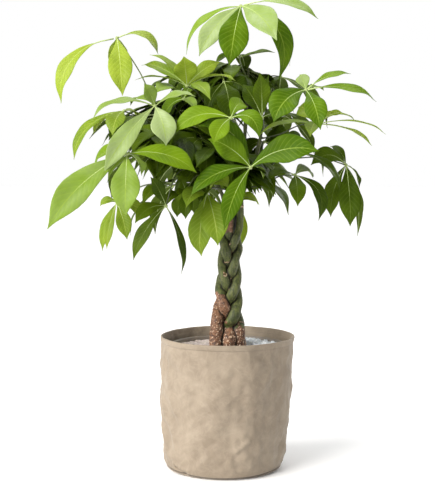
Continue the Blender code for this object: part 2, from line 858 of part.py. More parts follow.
def bowed(start, end, bow, outward):
    """The middle control point of a curve that rises between its ends, and the way it rises."""
    chord = end - start
    way = chord.normalized()
    rise = Vector((0, 0, 1)) + outward * OUTWARD_LEAN
    rise = rise - way * rise.dot(way)
    rise.normalize()
    return (start + end) / 2 + rise * bow * chord.length, rise


def curve_point(start, middle, end, share):
    rest = 1.0 - share
    return start * (rest * rest) + middle * (2 * share * rest) + end * (share * share)


def curve_way(start, middle, end, share):
    return ((middle - start) * (1.0 - share) + (end - middle) * share).normalized()


def blade(hub, plan, extra=0.0, first=0.0):
    """One leaflet as rings of four points: an edge, the rib's top, the other edge, the rib's back.

    extra makes it thicker and wider all round, and first leaves out the share next to the hub.
    """
    middle, rise = bowed(hub, plan["tip"], plan["lift"], plan["outward"])
    stations = [share for share in BLADE_STATIONS if share >= first]
    if first > 0:
        stations.insert(0, first)
    elif plan["stalk"] > 0:
        stations.insert(1, plan["stalk"])
    points = []
    for number, share in enumerate(stations):
        opened = max(0.0, (share - plan["stalk"]) / (1.0 - plan["stalk"]))
        centre = curve_point(hub, middle, plan["tip"], share)
        way = curve_way(hub, middle, plan["tip"], share)
        facing = rise * math.cos(plan["turn"]) + plan["facing"] * math.sin(plan["turn"])
        facing = (facing - way * facing.dot(way)).normalized()
        side = way.cross(facing)
        width = plan["width"] / 2 * float(np.interp(opened, BLADE_STATIONS, BLADE_OUTLINE))
        width = max(width, STALK_HALF_WIDTH) + extra
        thick = float(np.interp(share, BLADE_STATIONS, BLADE_RIB)) / 2 + extra
        wave = BLADE_WAVE * width * (-1) ** number
        edge = BLADE_FOLD * width
        points.append(centre - side * width + facing * (edge + wave))
        points.append(centre + facing * thick)
        points.append(centre + side * width + facing * (edge - wave))
        points.append(centre - facing * thick)
    end_way = curve_way(hub, middle, plan["tip"], 1.0)
    points.append(plan["tip"] + end_way * extra)
    return points, blade_faces(len(stations))


def blade_faces(rings):
    """A cap at the hub, triangles between rings of four points, then a point at the tip."""
    faces = [(0, 1, 2), (0, 2, 3)]
    for ring in range(rings - 1):
        low, high = 4 * ring, 4 * ring + 4
        for edge, rib in ((0, 1), (2, 3)):
            faces.append((low + edge, high + edge, high + rib))
            faces.append((low + edge, high + rib, low + rib))
        for edge, rib in ((2, 1), (0, 3)):
            faces.append((low + edge, high + rib, high + edge))
            faces.append((low + edge, low + rib, high + rib))
    last, tip = 4 * rings - 4, 4 * rings
    for a in range(4):
        faces.append((last + a, tip, last + (a + 1) % 4))
    return faces


class Taken:
    """The space that stems, petioles and leaflets already fill."""

    def __init__(self):
        self.trees = []
        self.lows = []
        self.highs = []
        self.owners = []
        self.cores = []

    def add(self, points, faces, owner, core=False):
        """core marks what an owner's own pieces may touch."""
        places = np.array(points)
        self.trees.append(BVHTree.FromPolygons(points, faces))
        self.lows.append(places.min(axis=0))
        self.highs.append(places.max(axis=0))
        self.owners.append(owner)
        self.cores.append(core)

    def free(self, points, faces, owner, own=False):
        """Whether a closed mesh touches nothing of other owners, or of its own where own is set."""
        places = np.array(points)
        low, high = places.min(axis=0), places.max(axis=0)
        near = (np.array(self.lows) <= high).all(axis=1) & (np.array(self.highs) >= low).all(axis=1)
        tree = BVHTree.FromPolygons(points, faces)
        for index in np.flatnonzero(near):
            mine = self.owners[index] == owner
            if mine != own or (own and self.cores[index]):
                continue
            if self.trees[index].overlap(tree):
                return False
        return True


def mesh_lists(mesh):
    mesh.calc_loop_triangles()
    points = [vertex.co.copy() for vertex in mesh.vertices]
    return points, [tuple(triangle.vertices) for triangle in mesh.loop_triangles]


def ring_tube(points, radius):
    """A six-sided tube as plain lists, to test for room, wider where it bends."""
    places, faces = [], []
    for index, point in enumerate(points):
        after = points[min(index + 1, len(points) - 1)]
        before = points[max(index - 1, 0)]
        way = (after - before).normalized()
        run = (after - point) if index == 0 else (point - before)
        mitre = 1.0 / max(0.5, way.dot(run.normalized()))
        side = way.orthogonal().normalized()
        over = way.cross(side)
        for corner in range(6):
            turn = math.radians(60 * corner)
            rim = side * math.cos(turn) + over * math.sin(turn)
            places.append(point + rim * radius * mitre)
    for ring in range(len(points) - 1):
        for corner in range(6):
            a, b = 6 * ring + corner, 6 * ring + (corner + 1) % 6
            faces += [(a, b, b + 6), (a, b + 6, a + 6)]
    return places, faces


def ball_mesh(name, middle, radius):
    """The small swelling where a petiole ends and its leaflets start."""
    work = bmesh.new()
    bmesh.ops.create_icosphere(work, subdivisions=1, radius=radius)
    bmesh.ops.translate(work, verts=work.verts, vec=middle)
    mesh = bpy.data.meshes.new(name)
    work.to_mesh(mesh)
    work.free()
    return mesh


def ball_lists(middle, radius):
    mesh = ball_mesh("room_for_hub", middle, radius)
    lists = mesh_lists(mesh)
    bpy.data.meshes.remove(mesh)
    return lists


def petiole_path(root, out, hub, bow, outward):
    """Straight out of the bark, then one curve that bows up and over to the hub."""
    collar = root + out * PETIOLE_COLLAR
    middle, _ = bowed(collar, hub, bow, outward)
    lead = collar + out * (hub - collar).length * PETIOLE_LEAD
    path = [root]
    for i in range(PETIOLE_POINTS):
        share = i / (PETIOLE_POINTS - 1)
        start = curve_point(collar, lead, middle, share)
        path.append(curve_point(start, start.lerp(middle, share), hub, share))
    return path


def petiole_root(number, height, aim, stem_tree):
    """Where a petiole leaves its shoot on the side that faces aim, and the bark's way out there."""
    axis = stem_place(number, height)
    out = level_way(aim - axis)
    hit, normal, _, _ = stem_tree.ray_cast(axis + out * RAY_START, -out)
    return hit + normal * BARK_GAP, normal


def swung_round(vector, degrees):
    angle = math.radians(degrees)
    across = vector.x * math.cos(angle) - vector.y * math.sin(angle)
    deep = vector.x * math.sin(angle) + vector.y * math.cos(angle)
    return Vector((across, deep, 0.0))


def petiole_choices(plan):
    """Near ways for a petiole to run: the height of its root, its bow and its side."""
    for drop in SPARE_DROPS:
        for bow in SPARE_BOWS:
            for swing in SPARE_SWINGS:
                yield plan["root"][1] - drop, plan["bow"] + bow, swing


def settle_petiole(plan, stem_trees, taken, owner):
    """The first of several near paths that touches nothing."""
    number = plan["root"][0]
    for height, bow, swing in petiole_choices(plan):
        level = min(height, SHOOTS[number]["top"][2] - PETIOLE_TOP_GAP)
        axis = stem_place(number, level)
        aim = axis + swung_round(plan["hub"] - axis, swing)
        root, out = petiole_root(number, level, aim, stem_trees[number])
        path = petiole_path(root, out, plan["hub"], bow, plan["outward"])
        stretch = ring_tube(path[1:], PETIOLE_RADIUS + CLEARANCE)
        start = ring_tube(path[:2], PETIOLE_RADIUS * PETIOLE_FLARE)
        end = ball_lists(plan["hub"], HUB_RADIUS + CLEARANCE)
        if all(taken.free(*piece, owner) for piece in (stretch, start, end)):
            return path
    return None


def settle_leaf(hub, leaf_plan, taken, owner):
    """The first of several near ways to lie that touches nothing."""
    for lift in SPARE_LIFTS:
        for turn in SPARE_TURNS:
            for shift in SPARE_SHIFTS:
                plan = dict(leaf_plan)
                plan["tip"] = leaf_plan["place"](shift)
                plan["lift"] = leaf_plan["lift"] + lift
                plan["turn"] = math.radians(leaf_plan["turn"] + turn)
                whole = blade(hub, plan, CLEARANCE)
                if not taken.free(*whole, owner):
                    continue
                if taken.free(*blade(hub, plan, CLEARANCE, ROOT_SHARE), owner, own=True):
                    return plan
    return None


def level_way(vector):
    flat = Vector((vector.x, vector.y, 0.0))
    return flat.normalized() if flat.length > 0 else Vector((0, -1, 0))


def photo_plans():
    """The fronds that the photograph shows, with their places worked out."""
    plans = []
    for frond in FRONDS:
        hub = picture_place(frond["hub"], frond["depth"])
        number = frond["root"][0] - 1
        plan = {
            "root": (number, frond["root"][1]),
            "hub": hub,
            "bow": frond.get("bow", PETIOLE_BOW),
            "age": frond["age"],
            "outward": level_way(hub - stem_place(number, frond["root"][1])),
            "leaves": [],
        }
        for shape in frond["leaves"]:
            picture, depth = shape["tip"], frond["depth"] + shape["away"]
            plan["leaves"].append(
                {
                    **shape,
                    "place": lambda shift, p=picture, d=depth: picture_place(p, d + shift),
                    "outward": level_way(picture_place(picture, depth) - hub),
                    "facing": Vector((0, -1, 0)),
                }
            )
        plans.append(plan)
    return plans


def fill_plans():
    """Fronds all round the back and inside, on turns of the golden angle."""
    draw = random.Random(FILL_SEED)
    plans = []
    for index in range(FILL_FRONDS):
        turn = FILL_TURN_START + (index * GOLDEN_ANGLE) % FILL_TURN_SPAN
        rise = FILL_RISE * (2 * ((index * GOLDEN_SHARE) % 1.0) - 1)
        level = math.sqrt(1 - rise * rise) * draw.uniform(*FILL_SHARE)
        way = Vector((math.cos(turn) * level, math.sin(turn) * level, rise))
        hub = FILL_MIDDLE + way * FILL_REACH
        hub.z += FILL_TILT * hub.x
        number = nearest_shoot(hub)
        highest = SHOOTS[number]["top"][2] - FILL_ROOT_GAP
        height = max(FILL_LOWEST_ROOT, min(highest, hub.z - draw.uniform(*FILL_ROOT_FALL)))
        outward = level_way(hub - FILL_MIDDLE)
        plan = {"root": (number, height), "hub": hub, "bow": PETIOLE_BOW, "age": "dark"}
        plan["outward"] = outward
        plan["leaves"] = fan_of_leaves(hub, outward, draw)
        plans.append(plan)
    return plans


def nearest_shoot(place):
    def distance(number):
        return (stem_place(number, SHOOTS[number]["top"][2]) - place).length

    return min(range(STEMS), key=distance)


def fan_of_leaves(hub, outward, draw):
    """Leaflets spread round the end of a petiole, the middle ones longest, all drooping."""
    count = draw.choice(FILL_LEAFLETS)
    over = Vector((0, 0, 1)).cross(outward)
    leaves = []
    for number in range(count):
        spread = FAN_HALF * (2 * number / (count - 1) - 1)
        turn = math.radians(spread + draw.uniform(-FAN_UNEVEN, FAN_UNEVEN))
        reach = outward * math.cos(turn) + over * math.sin(turn)
        length = draw.uniform(*FILL_LENGTH) * (1 - FAN_MIDDLE_LONGER * (1 - math.cos(turn)))
        droop = draw.uniform(*FILL_DROOP) + FAN_MIDDLE_DROOP * math.cos(turn)
        tip = hub + (reach - Vector((0, 0, droop))).normalized() * length
        shift_way = Vector((0, 0, 1)).cross(reach)
        leaves.append(
            {
                "place": lambda shift, t=tip, w=shift_way: t + w * shift,
                "width": draw.uniform(*FILL_WIDTH),
                "lift": draw.uniform(*FILL_ARCH),
                "turn": draw.uniform(*FILL_TURN),
                "stalk": 0.0,
                "outward": level_way(reach),
                "facing": level_way(reach),
            }
        )
    return leaves


def make_frond(name, hub, path, leaves, collection, material):
    """A petiole, its hub and its leaflets joined into one body."""
    pieces = bpy.data.collections.new(name + "_pieces")
    bpy.context.scene.collection.children.link(pieces)
    for number, plan in enumerate(leaves):
        points, faces = blade(hub, plan)
        mesh = bpy.data.meshes.new(f"{name}_leaflet_{number + 1}")
        mesh.from_pydata(points, [], faces)
        add_object(mesh.name, mesh, pieces)
    add_object(name + "_hub", ball_mesh(name + "_hub", hub, HUB_RADIUS), pieces)
    radii = [PETIOLE_RADIUS * PETIOLE_FLARE] + [PETIOLE_RADIUS] * (len(path) - 1)
    line = tube(name + "_line", path, radii, collection)
    stalk = applied(line, name + "_stalk", collection)
    join = stalk.modifiers.new("Join", "BOOLEAN")
    join.operation = "UNION"
    join.operand_type = "COLLECTION"
    join.collection = pieces
    join.solver = "EXACT"
    frond = applied(stalk, name, collection, material)
    for obj in list(pieces.objects):
        bpy.data.objects.remove(obj, do_unlink=True)
    bpy.data.collections.remove(pieces)
    return frond


def settle_petioles(plans, stem_trees, taken):
    """A path for each frond's petiole. Each path's bark end and hub then count as filled."""
    paths = []
    for owner, plan in enumerate(plans):
        path = settle_petiole(plan, stem_trees, taken, owner)
        paths.append(path)
        if path:
            taken.add(*ring_tube(path[:-1], PETIOLE_RADIUS), owner)
            taken.add(*ring_tube(path[:2], PETIOLE_RADIUS * PETIOLE_FLARE + CLEARANCE), owner)
            taken.add(*ring_tube(path[-2:], PETIOLE_RADIUS), owner, core=True)
            taken.add(*ball_lists(plan["hub"], HUB_RADIUS), owner, core=True)
    return paths


def settle_leaves(plan, taken, owner):
    """A frond's leaflets, without the few that find no room."""
    leaves = []
    for leaf_plan in plan["leaves"]:
        settled = settle_leaf(plan["hub"], leaf_plan, taken, owner)
        if settled:
            taken.add(*blade(plan["hub"], settled), owner)
            leaves.append(settled)
    return leaves


def make_fronds(stems, collection):
    taken = Taken()
    stem_trees = []
    for stem in stems:
        points, faces = mesh_lists(stem.data)
        stem_trees.append(BVHTree.FromPolygons(points, faces))
        taken.add(points, faces, "stems")
    materials = {}
    for age, colour in LEAF_COLOURS.items():
        materials[age] = principled(f"leaf_{age}", colour, 0.4)
    plans = photo_plans() + fill_plans()
    paths = settle_petioles(plans, stem_trees, taken)
    count = 0
    for owner, (plan, path) in enumerate(zip(plans, paths)):
        if path:
            count += 1
            leaves = settle_leaves(plan, taken, owner)
            material = materials[plan["age"]]
            make_frond(f"frond_{count:02d}", plan["hub"], path, leaves, collection, material)


def main():
    clear_scene()
    parts = new_collection("potted_money_tree")
    cutters = new_collection("cutters", hidden=True)
    make_bag(parts)
    make_pot(parts)
    bark = principled("bark", TRUNK_COLOUR, 0.75)
    stems = [make_stem(number, parts, bark) for number in range(STEMS)]
    for number in range(STEMS):
        make_hole(number, cutters)
    make_soil(parts, cutters)
    make_film(parts)
    make_fronds(stems, parts)


main()
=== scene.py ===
import json
import math

import bmesh
import bpy
import numpy as np
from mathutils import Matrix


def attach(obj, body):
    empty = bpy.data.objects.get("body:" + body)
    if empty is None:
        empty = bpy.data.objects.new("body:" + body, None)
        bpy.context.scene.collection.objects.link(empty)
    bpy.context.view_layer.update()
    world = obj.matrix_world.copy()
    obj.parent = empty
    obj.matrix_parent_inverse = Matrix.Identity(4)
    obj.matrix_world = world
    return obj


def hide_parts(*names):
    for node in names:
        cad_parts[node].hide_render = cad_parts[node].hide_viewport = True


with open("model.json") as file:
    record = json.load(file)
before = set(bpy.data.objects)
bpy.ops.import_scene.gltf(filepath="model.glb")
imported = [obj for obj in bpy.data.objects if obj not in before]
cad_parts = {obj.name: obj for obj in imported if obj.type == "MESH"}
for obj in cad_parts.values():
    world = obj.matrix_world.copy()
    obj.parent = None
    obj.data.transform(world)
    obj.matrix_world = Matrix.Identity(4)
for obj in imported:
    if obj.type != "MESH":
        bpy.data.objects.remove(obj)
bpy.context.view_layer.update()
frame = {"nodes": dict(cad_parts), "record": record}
nodes = frame["nodes"]
print("frame loaded with", len(nodes), "nodes")


# Small tools for arrays and meshes


def unit(vectors):  # each vector divided by its own length
    return vectors / np.maximum(np.linalg.norm(vectors, axis=-1, keepdims=True), 1e-12)


def smooth(value, low, high):  # 0 below low, 1 above high, and an S curve between them
    share = np.clip((value - low) / (high - low), 0.0, 1.0)
    return share * share * (3.0 - 2.0 * share)


def hill(away, width):  # 1 at 0, fading evenly to both sides
    return np.exp(-((away / width) ** 2))


def xyz(x, y, z):  # the three of each place together
    return np.stack(np.broadcast_arrays(x, y, z), axis=-1)


def ripple(points, spacing, seed, waves=20):
    # Smooth noise: a sum of plane waves of about that spacing, in seeded directions and phases, scaled
    # so that it spreads about 1 to each side of 0.
    draw = np.random.default_rng(seed)
    ways = unit(draw.normal(size=(waves, 3)))
    lengths = 2 * np.pi / (spacing * draw.uniform(0.7, 1.5, waves))
    phases = draw.uniform(0, 2 * np.pi, waves)
    return np.sin(points @ (ways * lengths[:, None]).T + phases).sum(axis=-1) * math.sqrt(2 / waves)


def flowing(points, count):
    # A Catmull-Rom curve through the points: each stretch is a cubic of its four nearest points.
    points = np.asarray(points, float)
    padded = np.vstack([2 * points[0] - points[1], points, 2 * points[-1] - points[-2]])
    place = np.linspace(0, len(points) - 1, count)
    first = np.minimum(place.astype(int), len(points) - 2)
    t = (place - first)[:, None]
    a, b, c, d = (padded[first + step] for step in range(4))
    curve = 2 * b + (c - a) * t + (2 * a - 5 * b + 4 * c - d) * t**2
    return 0.5 * (curve + (3 * b - a - 3 * c + d) * t**3)


def around(count):  # that many angles spread round a circle, as one row
    return np.linspace(0, 2 * np.pi, count, endpoint=False)[None]


def gridPart(points, **more):
    # Rings of points as a part: four-cornered faces between the rings, the first and last ring as caps,
    # and each corner's (across, along) from 0 to 1.
    rows, columns = points.shape[:2]
    row, column = (a.ravel() for a in np.meshgrid(np.arange(rows - 1), np.arange(columns), indexing="ij"))
    steps = ((0, 0), (0, 1), (1, 1), (1, 0))
    faces = np.stack([(row + r) * columns + (column + c) % columns for r, c in steps], axis=1)
    corners = [np.stack([(column + c) / columns, (row + r) / (rows - 1)], axis=1) for r, c in steps]
    caps = [list(range(columns))[::-1], list(range((rows - 1) * columns, rows * columns))]
    part = {"points": points.reshape(-1, 3), "faces": faces, "uv": np.stack(corners, axis=1)}
    part.update(caps=caps, column=column, skin=0, tone=0.5, crease=0.0)
    return {**part, **more}


def tube(path, radii, columns, **more):
    # A closed tube: at each point of the path a ring of that radius, square to the path, with end caps.
    along = unit(np.gradient(path, axis=0))
    chord = path[-1] - path[0]
    aside = np.cross(chord, (0.31, 0.17, 0.94) if abs(unit(chord)[2]) < 0.8 else (1.0, 0.2, 0.1))
    side = unit(np.cross(along, unit(aside)))
    over = np.cross(along, side)
    turn = around(columns)[..., None]
    ring = side[:, None] * np.cos(turn) + over[:, None] * np.sin(turn)
    return gridPart(path[:, None] + ring * radii[:, None, None], **more)


def enclosed(points, part):  # how much room the part's faces enclose, below 0 where they face inwards
    a, b, c, d = (points[part["faces"][:, i]] for i in range(4))
    return (np.cross(b - a, c - a) * a).sum() + (np.cross(c - a, d - a) * a).sum()


def placed(name, data):
    thing = bpy.data.objects.new(name, data)
    bpy.context.scene.collection.objects.link(thing)
    return thing


def setMark(mesh, mark, values):  # a value at each point, which a material can read
    mesh.attributes.new(mark, "FLOAT", "POINT").data.foreach_set("value", values.astype(np.float32))


def makePiece(name, parts, skins):
    # One mesh of several parts, each with its skin, one for all its faces or one for each. Caps take the
    # skin of the first faces, and a part that faces inwards is turned.
    points, faces, uvs, skinOf, marks = [], [], [], [], {"tone": [], "crease": []}
    start = 0
    for part in parts:
        count = len(part["points"])
        turned = -1 if enclosed(part["points"] - part["points"].mean(axis=0), part) < 0 else 1
        caps = [cap[::turned] for cap in part["caps"]]
        points.append(part["points"])
        faces += (part["faces"][:, ::turned] + start).tolist() + [[i + start for i in cap] for cap in caps]
        uvs += [part["uv"][:, ::turned].reshape(-1, 2)] + [np.full((len(cap), 2), 0.5) for cap in caps]
        skin = np.broadcast_to(part["skin"], len(part["faces"]))
        skinOf += [skin, skin[: len(caps)]]
        for mark, values in marks.items():
            values.append(np.broadcast_to(part[mark], count))
        start += count
    mesh = bpy.data.meshes.new(name)
    mesh.from_pydata(np.vstack(points).tolist(), [], faces)
    mesh.uv_layers.new(name="UVMap").data.foreach_set("uv", np.vstack(uvs).astype(np.float32).ravel())
    mesh.polygons.foreach_set("material_index", np.concatenate(skinOf).astype(np.int32))
    for mark, values in marks.items():
        setMark(mesh, mark, np.concatenate(values))
    mesh.shade_smooth()
    for skin in skins:
        mesh.materials.append(skin)
    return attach(placed(name, mesh), "root")


def lathe(outline, columns):  # the outline of (radius, height) turned about the upright axis
    outline = np.asarray(outline)
    turn = around(columns)
    x, y = outline[:, :1] * np.cos(turn), outline[:, :1] * np.sin(turn)
    return xyz(x, y, outline[:, 1:])


def closedLathe(name, rings, skin, node):  # a body of rings, its last ring joined to its first
    piece = makePiece(name, [gridPart(np.concatenate([rings, rings[:1]]), caps=[])], [skin])
    work = bmesh.new()
    work.from_mesh(piece.data)
    bmesh.ops.remove_doubles(work, verts=work.verts, dist=1e-6)
    work.to_mesh(piece.data)
    work.free()
    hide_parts(node)
    return piece


def merged(node):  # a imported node's points with doubles merged, and each point's neighbours
    work = bmesh.new()
    work.from_mesh(node.data)
    bmesh.ops.remove_doubles(work, verts=work.verts, dist=2e-6)
    points = np.array([vertex.co[:] for vertex in work.verts])
    near = {v.index: {edge.other_vert(v).index for edge in v.link_edges} for v in work.verts}
    work.free()
    return points, near


# Materials


def mathNode(operation, turned=False):  # a method that adds a math node of a wire and another value
    def made(self, other=0.0):
        values = (other, self) if turned else (self, other)
        return self.paint.add("Math", {"operation": operation}, *values)

    return made


class Wire:  # a socket that sums can be written with
    def __init__(self, paint, socket):
        self.paint, self.socket = paint, socket

    __add__ = __radd__ = mathNode("ADD")
    __sub__ = mathNode("SUBTRACT")
    __rsub__ = mathNode("SUBTRACT", True)
    __mul__ = __rmul__ = mathNode("MULTIPLY")
    __truediv__ = mathNode("DIVIDE")
    __abs__ = mathNode("ABSOLUTE")
    fract = mathNode("FRACT")
    higher = mathNode("MAXIMUM")


class Paint:  # one material and the nodes that colour it
    def __init__(self, name):
        self.material = bpy.data.materials.new(name)
        self.material.use_nodes = True
        self.tree = self.material.node_tree
        self.shader = self.tree.nodes["Principled BSDF"]
        self.spots = self.coords("Object")

    def coords(self, kind):
        return self.add("TexCoord", {}, out=kind)

    def put(self, socket, value):
        if isinstance(value, Wire):
            self.tree.links.new(value.socket, socket)
        elif socket.type == "RGBA":
            socket.default_value = (*value[:3], 1.0)
        else:
            socket.default_value = value

    def add(self, kind, settings, *values, out=0, **named):
        made = self.tree.nodes.new("ShaderNode" + kind)
        for key, value in settings.items():
            if key == "stops":
                self.setStops(made.color_ramp.elements, value)
            else:
                setattr(made, key, value)
        for socket, value in zip(made.inputs, values):
            self.put(socket, value)
        for key, value in named.items():
            self.put(made.inputs[key], value)
        return Wire(self, made.outputs[out])

    def setStops(self, elements, stops):  # a ramp starts with two of them
        for number, (place, colour) in enumerate(stops):
            element = elements[number] if number < 2 else elements.new(place)
            element.position, element.color = place, (*colour, 1.0)

    def mark(self, name):  # a value that makePiece gave each point
        return self.add("Attribute", {"attribute_name": name}, out="Fac")

    def parts(self, vector):
        outputs = self.add("SeparateXYZ", {}, vector).socket.node.outputs
        return [Wire(self, output) for output in outputs]

    def noise(self, scale, detail=3.0, rough=0.5, bent=0.0, stretch=None):
        spots = self.spots
        if stretch:
            spots = self.add("VectorMath", {"operation": "MULTIPLY"}, spots, stretch)
        named = {"Scale": scale, "Detail": detail, "Roughness": rough, "Distortion": bent}
        return self.add("TexNoise", {}, Vector=spots, **named)

    def between(self, value, low, high):  # 0 below low, 1 above high, smooth between them
        return self.add("MapRange", {"interpolation_type": "SMOOTHSTEP"}, value, low, high, 0.0, 1.0)

    def mix(self, share, first, second):
        made = self.tree.nodes.new("ShaderNodeMix")
        made.data_type = "RGBA"
        for index, value in ((0, share), (6, first), (7, second)):
            self.put(made.inputs[index], value)
        return Wire(self, made.outputs[2])

    def finish(self, colour, roughness, bump=None, **sockets):  # bump: its height, distance and strength
        if bump:
            names = ("Height", "Distance", "Strength")
            sockets["Normal"] = self.add("Bump", {}, **dict(zip(names, bump)))
        for key, value in {"Base_Color": colour, "Roughness": roughness, **sockets}.items():
            self.put(self.shader.inputs[key.replace("_", " ")], value)
        return self.material

    def letThrough(self, share, colour):  # some of the light goes through, tinted
        glow = self.add("BsdfTranslucent", {}, colour)
        shader = Wire(self, self.shader.outputs[0])
        both = self.add("MixShader", {}, share, shader, glow)
        self.tree.links.new(both.socket, self.tree.nodes["Material Output"].inputs["Surface"])


# How leaves and their stalks are coloured

leafLooks = {
    "young": {
        "deep": (0.125, 0.195, 0.014), "fresh": (0.280, 0.360, 0.034), "vein": (0.42, 0.50, 0.10),
        "under": (0.28, 0.36, 0.05), "glow": (0.75, 0.92, 0.030), "through": 0.20,
        "roughness": 0.42, "shine": 0.12,
    },
    "mid": {
        "deep": (0.050, 0.106, 0.003), "fresh": (0.152, 0.250, 0.008), "vein": (0.26, 0.36, 0.045),
        "under": (0.16, 0.23, 0.04), "glow": (0.46, 0.64, 0.018), "through": 0.16,
        "roughness": 0.38, "shine": 0.06,
    },
    # the dark look: deep green leaves, its darker colours partly painted shade in the crown
    "dark": {
        "deep": (0.025, 0.048, 0.002), "fresh": (0.085, 0.138, 0.005), "vein": (0.13, 0.18, 0.030),
        "under": (0.090, 0.135, 0.020), "glow": (0.30, 0.42, 0.010), "through": 0.12,
        "roughness": 0.36, "shine": 0.05,
    },
    # the colour of the painted sheen on shining leaflets
    "paintedSheen": (0.385, 0.455, 0.245),
    "stalk": ((0.040, 0.055, 0.012), (0.40, 0.50, 0.17)),
    "veins": 12,
    "veinLean": 2.4,
    "grain": 420,
}


def leafSkin(age, under):
    look = leafLooks[age]
    paint = Paint(f"leaf{age.capitalize()}{'Under' if under else 'Top'}")
    across, along, _ = paint.parts(paint.coords("UV"))
    away = abs(across * 2 - 1)
    place = (along * leafLooks["veins"] - away * leafLooks["veinLean"]).fract()
    fromVein = 1 - abs(place * 2 - 1)  # 0 on a side vein, 1 halfway to the next
    vein = 1 - paint.between(fromVein, 0.02, 0.22)
    vein = vein * (1 - paint.between(away, 0.75, 1.0))
    midrib = 1 - paint.between(away, 0.012, 0.050)
    cloud = paint.noise(26.0, 2.0)
    grain = paint.noise(leafLooks["grain"], 2.0)
    tone = paint.mark("tone")
    lightness = tone * 0.85 + (cloud - 0.5) * 1.1 + (grain - 0.5) * 0.10
    colour = paint.mix(paint.between(lightness, -0.1, 1.0), look["deep"], look["fresh"])
    paintedSheenAndCoat = paint.between(tone + (cloud - 0.5) * 0.5, 1.0, 2.0)  # tones past 1 are leaflets that shine: painted silvery sheen in the colour, and a real coat
    # painted sheen: where leaflets shine their colour is mixed towards silver
    colour = paint.mix(paintedSheenAndCoat * 0.9, colour, leafLooks["paintedSheen"])
    if under:
        colour = paint.mix(0.6, colour, look["under"])
    colour = paint.mix(vein * (0.48 if under else 0.34), colour, look["vein"])
    colour = paint.mix(midrib * 0.80, colour, look["vein"])
    puff = paint.between(fromVein, 0.0, 0.9) * (0.4 if under else 1.0)
    height = vein * 0.8 + midrib if under else puff - midrib * 0.5
    gloss = look["roughness"] + (grain - 0.5) * 0.06 + (0.24 if under else 0.0)
    extra = {"Coat_Weight": paintedSheenAndCoat * 0.5, "Coat_Roughness": 0.3, "Specular_IOR_Level": look["shine"]}
    paint.finish(colour, gloss, (height, 0.00028, 0.5), **extra)
    paint.letThrough(look["through"], look["glow"])
    return paint.material


def stalkSkin():
    paint = Paint("leafStalk")
    cloud = paint.noise(18.0, 2.0)
    grain = paint.noise(500.0, 2.0)
    tone = paint.mark("tone")
    lightness = paint.between(tone + (cloud - 0.5) * 0.6, 0.0, 1.0)
    colour = paint.mix(lightness, *leafLooks["stalk"])
    return paint.finish(colour, 0.45, (grain, 0.0003, 0.5))


# Reading the fronds of the frame

bladeShares = np.array([0.27, 0.58, 0.84])  # where along a leaflet its rings of four points lie
stalkShares = np.array([0.0, 0.15, 0.2])  # the shares of bare stalk that leaflets have
hubReach = 0.0055  # a packed frond's points nearer to its hub than this are the hub's
ringReach = 0.0039  # the points of one ring of a petiole are closer to each other than this
petioleRadii = (0.0012, 0.0016)  # the least of its rings, and where its thick foot starts
packedOutline = ((0.0, 0.27, 0.58, 0.84, 1.0), (0.04, 0.56, 1.0, 0.6, 0.0))  # its shares and its widths


def bezierRows(shares):  # how much each of three control points counts at each share
    shares = np.asarray(shares)
    return np.stack([(1 - shares) ** 2, 2 * shares * (1 - shares), shares**2], axis=1)


def ringsFrom(tip, near):  # the three rings of four points that lead back from a leaflet's tip
    rings, seen = [near[tip]], {tip} | near[tip]
    while len(rings) < 3 and len(rings[-1]) == 4:
        rings.append(set().union(*(near[i] for i in rings[-1])) - seen)
        seen |= rings[-1]
    return rings[::-1] if [len(ring) for ring in rings] == [4, 4, 4] else None


def readRing(ring, points, near):  # the ring's middle, the way its upper side faces and half its width
    first = min(ring)
    across = [i for i in ring if i != first and i not in near[first]]
    if len(across) != 1:
        return None
    pairs = [[first, across[0]], sorted(ring - {first, across[0]})]
    pairs.sort(key=lambda pair: -np.linalg.norm(points[pair[0]] - points[pair[1]]))
    edges, rib = points[pairs[0]], points[pairs[1]]
    middle = rib.mean(axis=0)
    facing = unit(rib[0] - rib[1])
    facing = facing * np.sign(facing @ (edges.mean(axis=0) - middle))
    return middle, facing, np.linalg.norm(edges[0] - edges[1]) / 2


def readLeaflets(points, near):
    leaflets = []
    for tip in near:
        rings = ringsFrom(tip, near)
        found = rings and [readRing(ring, points, near) for ring in rings]
        if not found or None in found:
            continue
        middles = np.array([ring[0] for ring in found] + [points[tip]])
        basis = bezierRows([*bladeShares, 1.0])
        control = np.linalg.lstsq(basis, middles, rcond=None)[0]
        if np.abs(basis @ control - middles).max() < 2e-5:
            facing, widths = np.array([ring[1] for ring in found]), [ring[2] for ring in found]
            opened = (bladeShares[None] - stalkShares[:, None]) / (1 - stalkShares[:, None])
            shape = np.interp(opened, *packedOutline)
            stalk = stalkShares[np.argmin(abs(shape[:, 0] / shape[:, 1] - widths[0] / widths[1]))]
            used = {tip}.union(*rings)
            leaflets.append(dict(control=control, facing=facing, half=widths[1], stalk=stalk, used=used))
    return sorted(leaflets, key=lambda leaflet: leaflet["control"][2][0])


def readPetiole(points, leaflets, hub):  # its middle line from the bark to the hub, from its rings of four
    used = set().union(*(leaflet["used"] for leaflet in leaflets))
    left = [i for i in range(len(points)) if i not in used and np.linalg.norm(points[i] - hub) > hubReach]
    rings = []
    while left:
        group = [left.pop()]
        for i in group:
            close = [j for j in left if np.linalg.norm(points[i] - points[j]) < ringReach]
            group += close
            left = [j for j in left if j not in close]
        middle = points[group].mean(axis=0)
        radius = np.linalg.norm(points[group] - middle, axis=1).max()
        if len(group) == 4 and radius > petioleRadii[0]:
            rings.append((radius < petioleRadii[1], -np.linalg.norm(middle - hub), middle))
    rings.sort(key=lambda ring: ring[:2])
    return np.array([ring[2] for ring in rings] + [hub])


# Building the fine fronds

